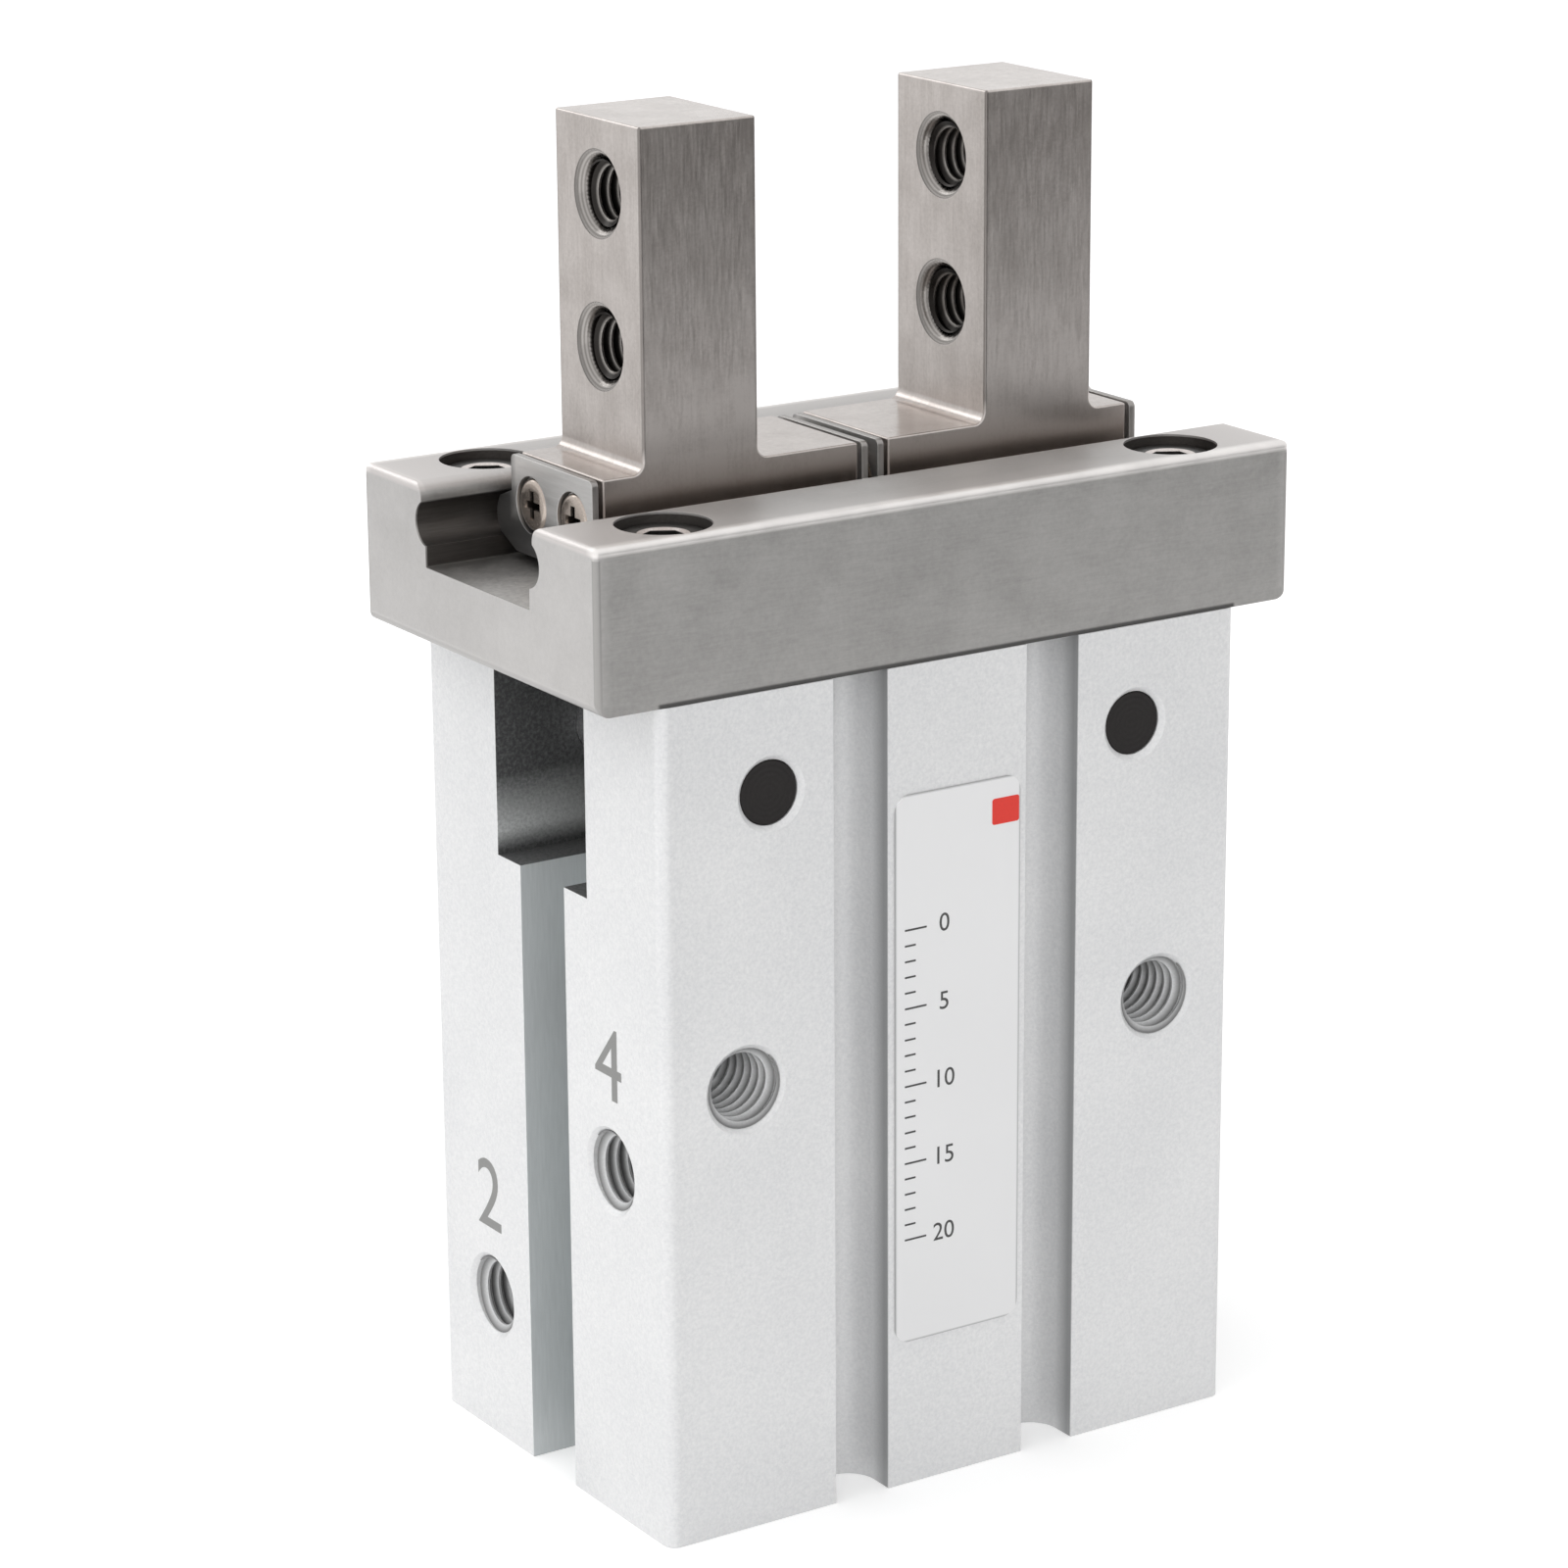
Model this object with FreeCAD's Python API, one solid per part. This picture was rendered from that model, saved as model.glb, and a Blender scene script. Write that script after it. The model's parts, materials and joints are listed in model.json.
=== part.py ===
# Pneumatic parallel gripper: two fingers on a ball guide, driven by a piston through two bell cranks.
# Millimetres. The origin is the middle of the bottom face, +Z points to the finger tips, the fingers
# open along X, and the face with the sensor grooves looks along -Y. The fingers are modelled closed.
import FreeCAD, Part
import math
import os

V = FreeCAD.Vector
ORIGIN = V(0, 0, 0)
ALONG_X = V(1, 0, 0)
ALONG_Y = V(0, 1, 0)
ALONG_Z = V(0, 0, 1)
parallel_tolerance = 1e-6

# Cylinder, from the bottom face upwards
bore_diameter = 20.0
locating_diameter = 21.0
locating_depth = 1.5
ring_setback = 0.5
ring_thickness = 1.0
ring_width = 1.6
ring_groove_depth = 0.6
ring_gap_angle = 50.0
ring_lug_radius = 1.2
ring_lug_hole_radius = 0.6
end_cap_thickness = 4.0
bumper_thickness = 1.5
bumper_width = 3.0
stop_gap = 0.1
piston_length = 11.5
piston_chamfer = 0.8

# Seals and rings of the cylinder
seal_groove_width = 2.4
seal_groove_depth = 1.6
magnet_groove_width = 4.0
magnet_groove_depth = 2.4
groove_land = 1.8
rod_seal_height = 3.0
rod_seal_width = 2.5
seal_retainer_thickness = 1.2
seal_retainer_lap = 1.0
bush_length = 9.65
bush_wall = 1.5
bush_setback = 0.3

# Piston rod and the screw that holds the piston
rod_diameter = 10.0
rod_neck_diameter = 4.4
rod_collar_thickness = 2.0
spigot_diameter = 6.0
spigot_length = 5.0
piston_screw_diameter = 3.0
piston_screw_head_diameter = 5.5
piston_screw_head_height = 3.0
piston_screw_engagement = 6.0

# Body
body_side_wall = 11.0
body_front_wall = 3.8
body_edge_radius = 0.8
lever_slot_width = 10.6
lever_slot_height = 13.6
side_groove_width = 5.2
side_groove_depth = 5.6
sensor_groove_spacing = 14.0
sensor_groove_width = 3.9
sensor_groove_depth = 3.6

# Tapped holes at their thread diameter
mount_hole_diameter = 5.0
mount_hole_depth = 9.0
mount_drill_diameter = 4.2
mount_hole_spacing = 30.5
mount_hole_height = 28.45
base_hole_diameter = 4.0
base_hole_depth = 6.0
base_hole_spacing_x = 30.5
base_hole_spacing_y = 17.0
port_diameter = 5.0
port_depth = 6.5
port_offset = 7.5
port_passage_diameter = 2.0
opening_port_rise = 2.3
closing_port_drop = 2.55
thread_chamfer = 0.3

# Guide
guide_overhang = 4.0
guide_setback = 0.1
guide_height = 10.0
guide_top_radius = 0.4
guide_bottom_radius = 0.8
guide_end_radius = 0.35
channel_width = 12.4
channel_depth = 5.1
channel_lip_setback = 0.4
channel_lip_radius = 0.95
guide_screw_diameter = 3.0
guide_screw_length = 12.0
guide_screw_inset_x = 2.65
guide_screw_inset_y = 3.5
screw_head_diameter = 5.5
screw_head_height = 3.0
screw_head_sink = 0.6
screw_socket_width = 2.5
screw_socket_depth = 1.5
counterbore_clearance = 0.15
dowel_diameter = 3.0
dowel_length = 6.0
dowel_inset_y = 4.3

# Ball tracks
ball_diameter = 2.75
ball_pitch = 2.8
balls_per_track = 4
ball_sides = 12
track_spacing = 11.9
track_drop = 2.4

# Fingers
finger_stroke = 5.0
finger_opening = 16.5
finger_thickness = 8.0
finger_depth = 9.5
finger_height = 20.45
finger_edge_radius = 0.15
finger_root_radius = 0.7
finger_hole_diameter = 4.0
finger_hole_chamfer = 0.4
finger_hole_drop = 4.5
finger_hole_spacing = 9.1
slider_rise = 1.55
slider_shoulder_drop = 0.75
slider_shoulder_height = 0.15
slider_width = 11.2
slider_floor_gap = 0.4
slider_end_gap = 0.2

# End plates of the sliders and their screws
plate_thickness = 0.75
plate_relief = 0.3
plate_relief_width = 0.5
plate_gap = 0.7
plate_corner_radius = 0.4
plate_lobe_radius = 1.6
plate_lobe_clearance = 0.8
plate_foot_width = 8.6
plate_foot_gap = 0.7
plate_screw_spacing = 4.8
plate_screw_drop = 1.25
plate_screw_diameter = 1.6
plate_screw_length = 4.0
plate_screw_head_diameter = 3.2
plate_screw_head_height = 0.4
plate_counterbore_depth = 0.45

# Levers
lever_pivot_spacing = 26.6
lever_pivot_drop = 6.3
lever_pin_diameter = 4.0
lever_hub_diameter = 6.6
lever_thickness = 4.4
lever_root_width = 5.2
lever_tip_rise = 2.3
lever_tip_diameter = 4.6
lever_neck_width = 3.0
lever_toe_diameter = 3.6
lever_toe_neck_width = 2.6
lever_toe_gap = 0.3
plug_length = 2.0
plug_mouth_chamfer = 0.35

# Label on the land between the sensor grooves
label_margin = 0.45
label_height = 35.25
label_bottom = 9.55
label_thickness = 0.1
label_corner_radius = 1.0

# Clearances
fixed_clearance = 0.02
running_clearance = 0.05
lever_side_clearance = 0.15
lever_window_clearance = 0.5
lever_slot_headroom = 0.4
screw_hole_clearance = 0.2
thread_runout = 1.0

# The levers stand at one end of their swing when the fingers are closed
lever_arm = lever_pivot_drop + guide_height - channel_depth + lever_tip_rise
lever_toe_x = (rod_neck_diameter + lever_toe_diameter) / 2 + lever_toe_gap
lever_pivot_x = lever_pivot_spacing / 2
lever_toe_arm = lever_pivot_x - lever_toe_x
lever_rest_angle = math.degrees(math.asin(finger_stroke / 2 / lever_arm))
lever_toe_drop = lever_toe_arm * math.sin(math.radians(lever_rest_angle))
piston_stroke = 2 * lever_toe_drop

# Levels along Z
ring_bottom = locating_depth + ring_setback
end_cap_bottom = ring_bottom + ring_thickness
end_cap_top = end_cap_bottom + end_cap_thickness
piston_bottom = end_cap_top + bumper_thickness + stop_gap
piston_top = piston_bottom + piston_length
cylinder_top = piston_top + piston_stroke + stop_gap + bumper_thickness
rod_seal_bottom = cylinder_top + seal_retainer_thickness
rod_seal_top = rod_seal_bottom + rod_seal_height
bush_top = rod_seal_top + bush_length
slot_floor = bush_top + bush_setback
body_height = slot_floor + lever_slot_height
guide_top = body_height + guide_height
channel_floor = guide_top - channel_depth
track_height = guide_top - track_drop
lever_pivot_height = body_height - lever_pivot_drop
lever_tip_height = lever_pivot_height + lever_arm
rod_groove_middle = lever_pivot_height - lever_toe_drop
rod_top = rod_groove_middle + lever_toe_diameter / 2 + running_clearance + rod_collar_thickness
slider_bottom = channel_floor + slider_floor_gap
slider_shoulder = guide_top - slider_shoulder_drop
slider_top = guide_top + slider_rise
finger_top = slider_top + finger_height
opening_port_height = end_cap_top + opening_port_rise
closing_port_height = cylinder_top - closing_port_drop
plate_screw_height = guide_top - plate_screw_drop

# Radii and half widths
bore_radius = bore_diameter / 2
rod_radius = rod_diameter / 2
body_half_width = bore_radius + body_side_wall
body_half_depth = bore_radius + body_front_wall
guide_half_length = body_half_width + guide_overhang
guide_half_depth = body_half_depth - guide_setback
ring_radius = bore_radius + ring_groove_depth
gland_radius = rod_radius + rod_seal_width
seal_retainer_radius = gland_radius + seal_retainer_lap
bush_radius = rod_radius + bush_wall
lever_pin_radius = lever_pin_diameter / 2
track_radius = ball_diameter / 2 + running_clearance
track_offset = track_spacing / 2
finger_half_depth = finger_depth / 2
finger_inner = finger_opening / 2
finger_outer = finger_inner + finger_thickness
slider_inner = plate_gap / 2 + plate_thickness
slider_outer = guide_half_length - finger_stroke - slider_end_gap - plate_thickness
land_half_width = (sensor_groove_spacing - sensor_groove_width) / 2


def section(steps, place):
    """Face inside a closed outline: a step is a point, or a pair of points for an arc through the first."""
    edges = []
    here = steps[0]
    for step in steps[1:] + steps[:1]:
        if isinstance(step[0], tuple):
            middle, end = step
            edges.append(Part.Arc(place(*here), place(*middle), place(*end)).toShape())
        else:
            end = step
            if end != here:
                edges.append(Part.LineSegment(place(*here), place(*end)).toShape())
        here = end
    return Part.Face(Part.Wire(edges))


def profile_along_x(steps, start, end):
    """Solid with a section in Y and Z."""
    return section(steps, lambda y, z: V(start, y, z)).extrude(V(end - start, 0, 0))


def profile_along_y(steps, start, end):
    """Solid with a section in X and Z."""
    return section(steps, lambda x, z: V(x, start, z)).extrude(V(0, end - start, 0))


def block(x_range, y_range, z_range):
    """Box between pairs of limits."""
    size = [high - low for low, high in (x_range, y_range, z_range)]
    return Part.makeBox(*size, V(x_range[0], y_range[0], z_range[0]))


def turned(steps):
    """Solid turned about Z from a half section in radius and height."""
    return section(steps, lambda radius, z: V(radius, 0, z)).revolve(ORIGIN, ALONG_Z, 360)


def ring(inner, outer, bottom, top):
    """Plain ring about Z."""
    return turned([(inner, bottom), (outer, bottom), (outer, top), (inner, top)])


def runs_along(edge, direction):
    """Whether an edge sets out parallel to a direction."""
    return edge.tangentAt(edge.FirstParameter).cross(direction).Length < parallel_tolerance


def rounded_edges(solid, direction, radius):
    """Solid with every straight edge that runs along a direction rounded."""
    return solid.makeFillet(radius, [edge for edge in solid.Edges if runs_along(edge, direction)])


def bend(radius):
    """How far the middle of a quarter arc stands back from both sides of its corner."""
    return radius * (1 - math.sqrt(0.5))


def tapped_hole(mouth, inward, diameter, depth, chamfer):
    """Cutter of a threaded hole with a chamfered mouth."""
    radius = diameter / 2
    hole = Part.makeCylinder(radius, depth, mouth, inward)
    return hole.fuse(Part.makeCone(radius + chamfer, radius, chamfer, mouth, inward))


def hexagon(width, bottom, height, centre):
    """Hexagonal prism along Z, measured across its flats."""
    reach = width / math.sqrt(3)
    outline = []
    for corner in range(6):
        turn = math.radians(60 * corner)
        outline.append(V(centre.x + reach * math.cos(turn), centre.y + reach * math.sin(turn), bottom))
    return Part.Face(Part.makePolygon(outline + outline[:1])).extrude(V(0, 0, height))


def socket_screw(centre, seat, diameter, length, head_diameter, head_height, upwards=1):
    """Cap screw with a hexagon socket, its head on a seat, pointing down or, with upwards -1, up."""
    way = V(0, 0, upwards)
    foot = V(centre.x, centre.y, seat)
    head = Part.makeCylinder(head_diameter / 2, head_height, foot, way)
    shank = Part.makeCylinder(diameter / 2, length, foot, way * -1)
    socket_end = seat + upwards * (head_height - screw_socket_depth)
    socket_floor = min(socket_end, seat + upwards * head_height)
    return head.fuse(shank).cut(hexagon(screw_socket_width, socket_floor, screw_socket_depth, centre))


def mirrored(solid):
    """The same piece for the left side."""
    return solid.mirror(ORIGIN, ALONG_X)


def corners(x, y):
    """The four places at plus and minus x and y."""
    return [V(side * x, front * y, 0) for side in (-1, 1) for front in (-1, 1)]


guide_screw_places = corners(body_half_width - guide_screw_inset_x, body_half_depth - guide_screw_inset_y)
guide_screw_seat = guide_top - screw_head_sink - screw_head_height
dowel_places = [V(0, front * (body_half_depth - dowel_inset_y), 0) for front in (-1, 1)]


def cylinder_cutter():
    """Stepped bore from the bottom face to the lever slot."""
    return turned([
        (0, 0),
        (locating_diameter / 2, 0),
        (locating_diameter / 2, locating_depth),
        (bore_radius, locating_depth),
        (bore_radius, ring_bottom),
        (ring_radius, ring_bottom),
        (ring_radius, end_cap_bottom),
        (bore_radius, end_cap_bottom),
        (bore_radius, cylinder_top),
        (seal_retainer_radius, cylinder_top),
        (seal_retainer_radius, rod_seal_bottom),
        (gland_radius, rod_seal_bottom),
        (gland_radius, rod_seal_top),
        (bush_radius, rod_seal_top),
        (bush_radius, body_height),
        (0, body_height),
    ])


def sensor_groove_cutter(x):
    """Round-bottomed groove in the front face, over the whole height."""
    radius = sensor_groove_width / 2
    bottom = -body_half_depth + sensor_groove_depth - radius
    slot = block((x - radius, x + radius), (-body_half_depth, bottom), (0, body_height))
    return slot.fuse(Part.makeCylinder(radius, body_height, V(x, bottom, 0)))


def port_cutter(y, height):
    """Air port in the left side, with its passage into the cylinder."""
    mouth = V(-body_half_width, y, height)
    passage_length = body_half_width - math.sqrt(bore_radius ** 2 - y ** 2) + port_passage_diameter
    passage = Part.makeCylinder(port_passage_diameter / 2, passage_length, mouth, ALONG_X)
    return tapped_hole(mouth, ALONG_X, port_diameter, port_depth, thread_chamfer).fuse(passage)


def body():
    """Machined block with the cylinder, the lever slot, the grooves and all its holes."""
    width = (-body_half_width, body_half_width)
    depth = (-body_half_depth, body_half_depth)
    solid = rounded_edges(block(width, depth, (0, body_height)), ALONG_Z, body_edge_radius)
    half_slot = lever_slot_width / 2
    cutters = [cylinder_cutter(), block(width, (-half_slot, half_slot), (slot_floor, body_height))]
    cutters.append(port_cutter(-port_offset, closing_port_height))
    cutters.append(port_cutter(port_offset, opening_port_height))
    for side in (-1, 1):
        cutters.append(sensor_groove_cutter(side * sensor_groove_spacing / 2))
        groove_limits = sorted((side * (body_half_width - side_groove_depth), side * body_half_width))
        half_groove = side_groove_width / 2
        cutters.append(block(groove_limits, (-half_groove, half_groove), (0, slot_floor)))
        pin_start = V(side * lever_pivot_x, -body_half_depth, lever_pivot_height)
        pin_hole_radius = lever_pin_radius + fixed_clearance
        cutters.append(Part.makeCylinder(pin_hole_radius, 2 * body_half_depth, pin_start, ALONG_Y))
        drill_start = V(side * mount_hole_spacing / 2, -body_half_depth, mount_hole_height)
        drill_radius = mount_drill_diameter / 2
        cutters.append(Part.makeCylinder(drill_radius, 2 * body_half_depth, drill_start, ALONG_Y))
        for front in (-1, 1):
            inward = V(0, -front, 0)
            mouth = V(side * mount_hole_spacing / 2, front * body_half_depth, mount_hole_height)
            cutters.append(tapped_hole(mouth, inward, mount_hole_diameter, mount_hole_depth, thread_chamfer))
            plug_mouth = V(side * lever_pivot_x, front * body_half_depth, lever_pivot_height)
            plug_size = (lever_pin_diameter, plug_length, plug_mouth_chamfer)
            cutters.append(tapped_hole(plug_mouth, inward, *plug_size))
    for place in corners(base_hole_spacing_x / 2, base_hole_spacing_y / 2):
        cutters.append(tapped_hole(place, ALONG_Z, base_hole_diameter, base_hole_depth, thread_chamfer))
    screw_hole_depth = guide_screw_length - (guide_screw_seat - body_height) + thread_runout
    for place in guide_screw_places:
        top = place + V(0, 0, body_height)
        radius = guide_screw_diameter / 2 + fixed_clearance
        cutters.append(Part.makeCylinder(radius, screw_hole_depth, top, V(0, 0, -1)))
    for place in dowel_places:
        top = place + V(0, 0, body_height)
        radius = dowel_diameter / 2 + fixed_clearance
        cutters.append(Part.makeCylinder(radius, dowel_length / 2, top, V(0, 0, -1)))
    return solid.cut(cutters)


def guide_section():
    """Section of the guide block, with a larger radius along the bottom than along the top."""
    half = guide_half_depth
    low = guide_bottom_radius
    high = guide_top_radius
    return [
        (low - half, body_height),
        (half - low, body_height),
        ((half - bend(low), body_height + bend(low)), (half, body_height + low)),
        (half, guide_top - high),
        ((half - bend(high), guide_top - bend(high)), (half - high, guide_top)),
        (high - half, guide_top),
        ((bend(high) - half, guide_top - bend(high)), (-half, guide_top - high)),
        (-half, body_height + low),
        ((bend(low) - half, body_height + bend(low)), (low - half, body_height)),
    ]


def channel_section():
    """Section of the channel without its tracks: rounded lips, and walls that stand closer below them."""
    low = channel_width / 2
    high = low + channel_lip_setback
    lip = channel_lip_radius
    lip_bottom = guide_top - lip
    lip_middle = guide_top - bend(lip)
    return [
        (-high - lip, guide_top),
        ((-high - bend(lip), lip_middle), (-high, lip_bottom)),
        (-high, track_height),
        (-low, track_height),
        (-low, channel_floor),
        (low, channel_floor),
        (low, track_height),
        (high, track_height),
        (high, lip_bottom),
        ((high + bend(lip), lip_middle), (high + lip, guide_top)),
    ]


def guide():
    """Rail block with the channel, its ball tracks, windows for the levers and screw holes."""
    length = (-guide_half_length, guide_half_length)
    solid = profile_along_x(guide_section(), *length)
    end_edges = [edge for edge in solid.Edges if not runs_along(edge, ALONG_X)]
    solid = solid.makeFillet(guide_end_radius, end_edges)
    cutters = [profile_along_x(channel_section(), *length)]
    window_reach = (finger_stroke + lever_tip_diameter) / 2 + lever_window_clearance
    half_window = lever_thickness / 2 + lever_window_clearance
    for side in (-1, 1):
        track_start = V(-guide_half_length, side * track_offset, track_height)
        cutters.append(Part.makeCylinder(track_radius, 2 * guide_half_length, track_start, ALONG_X))
        middle = side * lever_pivot_x
        window_x = (middle - window_reach, middle + window_reach)
        cutters.append(block(window_x, (-half_window, half_window), (body_height, channel_floor)))
    for place in guide_screw_places:
        bottom = place + V(0, 0, body_height)
        seat = place + V(0, 0, guide_screw_seat)
        hole_radius = guide_screw_diameter / 2 + screw_hole_clearance
        cutters.append(Part.makeCylinder(hole_radius, guide_height, bottom))
        counterbore_radius = screw_head_diameter / 2 + counterbore_clearance
        cutters.append(Part.makeCylinder(counterbore_radius, guide_height, seat))
    for place in dowel_places:
        bottom = place + V(0, 0, body_height)
        cutters.append(Part.makeCylinder(dowel_diameter / 2 + fixed_clearance, dowel_length / 2, bottom))
    return solid.cut(cutters)


def guide_screws():
    """The four cap screws that hold the guide down."""
    size = (guide_screw_diameter, guide_screw_length, screw_head_diameter, screw_head_height)
    return [socket_screw(place, guide_screw_seat, *size) for place in guide_screw_places]


def guide_dowels():
    """The two pins that locate the guide on the body."""
    foot = V(0, 0, body_height - dowel_length / 2)
    return [Part.makeCylinder(dowel_diameter / 2, dowel_length, place + foot) for place in dowel_places]


def lever_pin():
    """Pivot pin of the right lever, between its two plugs."""
    reach = body_half_depth - plug_length
    start = V(lever_pivot_x, -reach, lever_pivot_height)
    return Part.makeCylinder(lever_pin_radius, 2 * reach, start, ALONG_Y)


def pin_plugs():
    """Plugs that close the right pin's hole, set back by the chamfer of its mouth."""
    plugs = []
    for front in (-1, 1):
        start = V(lever_pivot_x, front * (body_half_depth - plug_length), lever_pivot_height)
        length = plug_length - plug_mouth_chamfer
        plugs.append(Part.makeCylinder(lever_pin_radius, length, start, V(0, front, 0)))
    return plugs


def end_cap():
    """Cap that closes the cylinder, with a groove for its seal."""
    outer = bore_radius - fixed_clearance
    middle = (end_cap_bottom + end_cap_top) / 2
    half = seal_groove_width / 2
    groove = ring(outer - seal_groove_depth, bore_radius, middle - half, middle + half)
    return Part.makeCylinder(outer, end_cap_thickness, V(0, 0, end_cap_bottom)).cut(groove)


def end_cap_seal():
    """Sealing ring in the cap's groove."""
    outer = bore_radius - fixed_clearance
    middle = (end_cap_bottom + end_cap_top) / 2
    half = seal_groove_width / 2 - running_clearance
    return ring(outer - seal_groove_depth + fixed_clearance, outer, middle - half, middle + half)


def retaining_ring():
    """Open spring ring under the cap, with a lug at each end for pliers."""
    outer = ring_radius - fixed_clearance
    inner = outer - ring_width
    solid = ring(inner, outer, ring_bottom, end_cap_bottom)
    half_gap = ring_gap_angle / 2
    reach = 2 * outer
    gap_corner = (reach * math.tan(math.radians(half_gap)), reach)
    gap = Part.makePolygon([ORIGIN, V(-gap_corner[0], reach, 0), V(*gap_corner, 0), ORIGIN])
    solid = solid.cut(Part.Face(gap).extrude(V(0, 0, end_cap_top)))
    for side in (-1, 1):
        turn = math.radians(90 + side * (half_gap + math.degrees(ring_lug_radius / inner) / 2))
        foot = V(inner * math.cos(turn), inner * math.sin(turn), ring_bottom)
        solid = solid.fuse(Part.makeCylinder(ring_lug_radius, ring_thickness, foot))
        solid = solid.cut(Part.makeCylinder(ring_lug_hole_radius, ring_thickness, foot))
    return solid.removeSplitter()


def bumper(bottom):
    """Stop ring of the piston."""
    outer = bore_radius - fixed_clearance
    return ring(outer - bumper_width, outer, bottom, bottom + bumper_thickness)


def rod_bush():
    """Bush that guides the rod below the lever slot."""
    return ring(rod_radius + running_clearance, bush_radius - fixed_clearance, rod_seal_top, bush_top)


def rod_seal():
    """Seal of the rod in its gland."""
    inner = rod_radius + running_clearance
    return ring(inner, gland_radius - fixed_clearance, rod_seal_bottom, rod_seal_top)


def seal_retainer():
    """Washer that keeps the rod seal in, held by the upper bumper's face."""
    inner = rod_radius + screw_hole_clearance
    return ring(inner, seal_retainer_radius - fixed_clearance, cylinder_top, rod_seal_bottom)


def label():
    """Sticker on the land between the sensor grooves."""
    half_width = land_half_width - label_margin
    depth = (-body_half_depth - label_thickness, -body_half_depth)
    solid = block((-half_width, half_width), depth, (label_bottom, label_bottom + label_height))
    return rounded_edges(solid, ALONG_Y, label_corner_radius)


magnet_groove_bottom = piston_bottom + groove_land
magnet_groove_top = magnet_groove_bottom + magnet_groove_width
piston_groove_bottom = magnet_groove_top + groove_land
piston_groove_top = piston_groove_bottom + seal_groove_width
piston_radius = bore_radius - 2 * running_clearance
piston_screw_seat = piston_bottom + piston_screw_head_height + stop_gap


def piston():
    """Piston with a groove for its magnet and one for its seal, bored for the rod and its screw."""
    solid = turned([
        (0, piston_bottom),
        (piston_radius - piston_chamfer, piston_bottom),
        (piston_radius, piston_bottom + piston_chamfer),
        (piston_radius, magnet_groove_bottom),
        (piston_radius - magnet_groove_depth, magnet_groove_bottom),
        (piston_radius - magnet_groove_depth, magnet_groove_top),
        (piston_radius, magnet_groove_top),
        (piston_radius, piston_groove_bottom),
        (piston_radius - seal_groove_depth, piston_groove_bottom),
        (piston_radius - seal_groove_depth, piston_groove_top),
        (piston_radius, piston_groove_top),
        (piston_radius, piston_top),
        (0, piston_top),
    ])
    head_radius = piston_screw_head_diameter / 2 + counterbore_clearance
    shank_radius = piston_screw_diameter / 2 + screw_hole_clearance
    spigot_radius = spigot_diameter / 2 + fixed_clearance
    bore = turned([
        (0, piston_bottom),
        (head_radius, piston_bottom),
        (head_radius, piston_screw_seat),
        (shank_radius, piston_screw_seat),
        (shank_radius, piston_top - spigot_length),
        (spigot_radius, piston_top - spigot_length),
        (spigot_radius, piston_top),
        (0, piston_top),
    ])
    return solid.cut(bore)


def piston_seal():
    """Sealing ring in the piston's upper groove."""
    inner = piston_radius - seal_groove_depth + fixed_clearance
    bottom = piston_groove_bottom + running_clearance
    top = piston_groove_top - running_clearance
    return ring(inner, bore_radius - running_clearance, bottom, top)


def piston_magnet():
    """Magnet ring in the piston's lower groove."""
    inner = piston_radius - magnet_groove_depth + fixed_clearance
    bottom = magnet_groove_bottom + running_clearance
    top = magnet_groove_top - running_clearance
    return ring(inner, piston_radius, bottom, top)


def piston_rod():
    """Rod with a spigot in the piston and a grooved head that takes the levers' toes."""
    half_groove = lever_toe_diameter / 2 + running_clearance
    thread_radius = piston_screw_diameter / 2 + fixed_clearance
    spigot_bottom = piston_top - spigot_length
    thread_top = spigot_bottom + piston_screw_engagement + thread_runout
    return turned([
        (thread_radius, spigot_bottom),
        (spigot_diameter / 2, spigot_bottom),
        (spigot_diameter / 2, piston_top),
        (rod_radius, piston_top),
        (rod_radius, rod_groove_middle - half_groove),
        (rod_neck_diameter / 2, rod_groove_middle - half_groove),
        (rod_neck_diameter / 2, rod_groove_middle + half_groove),
        (rod_radius, rod_groove_middle + half_groove),
        (rod_radius, rod_top),
        (0, rod_top),
        (0, thread_top),
        (thread_radius, thread_top),
    ])


def piston_screw():
    """Screw from below that pulls the rod into the piston."""
    length = piston_top - spigot_length + piston_screw_engagement - piston_screw_seat
    head = (piston_screw_head_diameter, piston_screw_head_height)
    return socket_screw(ORIGIN, piston_screw_seat, piston_screw_diameter, length, *head, upwards=-1)


def lever_limb(reach, across, root_half_width, neck_half_width, tip_diameter):
    """Tapered limb of a lever from its pivot to a round tip, in the plane of its swing."""
    half = lever_thickness / 2
    corners_of_limb = [
        across * root_half_width,
        reach + across * neck_half_width,
        reach - across * neck_half_width,
        across * -root_half_width,
    ]
    outline = [(corner.x, corner.z) for corner in corners_of_limb]
    tip_start = reach + V(0, -half, 0)
    tip = Part.makeCylinder(tip_diameter / 2, lever_thickness, tip_start, ALONG_Y)
    return profile_along_y(outline, -half, half).fuse(tip)


def lever():
    """Right bell crank: a hub on the pin, an arm up to the finger and a toe in the rod's groove."""
    half_root = lever_root_width / 2
    arm = lever_limb(V(0, 0, lever_arm), ALONG_X, half_root, lever_neck_width / 2, lever_tip_diameter)
    toe_reach = V(-lever_toe_arm, 0, 0)
    toe = lever_limb(toe_reach, ALONG_Z, half_root, lever_toe_neck_width / 2, lever_toe_diameter)
    hub_start = V(0, -lever_thickness / 2, 0)
    hub = Part.makeCylinder(lever_hub_diameter / 2, lever_thickness, hub_start, ALONG_Y)
    bore = Part.makeCylinder(lever_pin_radius + running_clearance, lever_thickness, hub_start, ALONG_Y)
    solid = hub.fuse([arm, toe]).removeSplitter().cut(bore)
    solid.rotate(ORIGIN, ALONG_Y, -lever_rest_angle)
    solid.translate(V(lever_pivot_x, 0, lever_pivot_height))
    return solid


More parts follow.
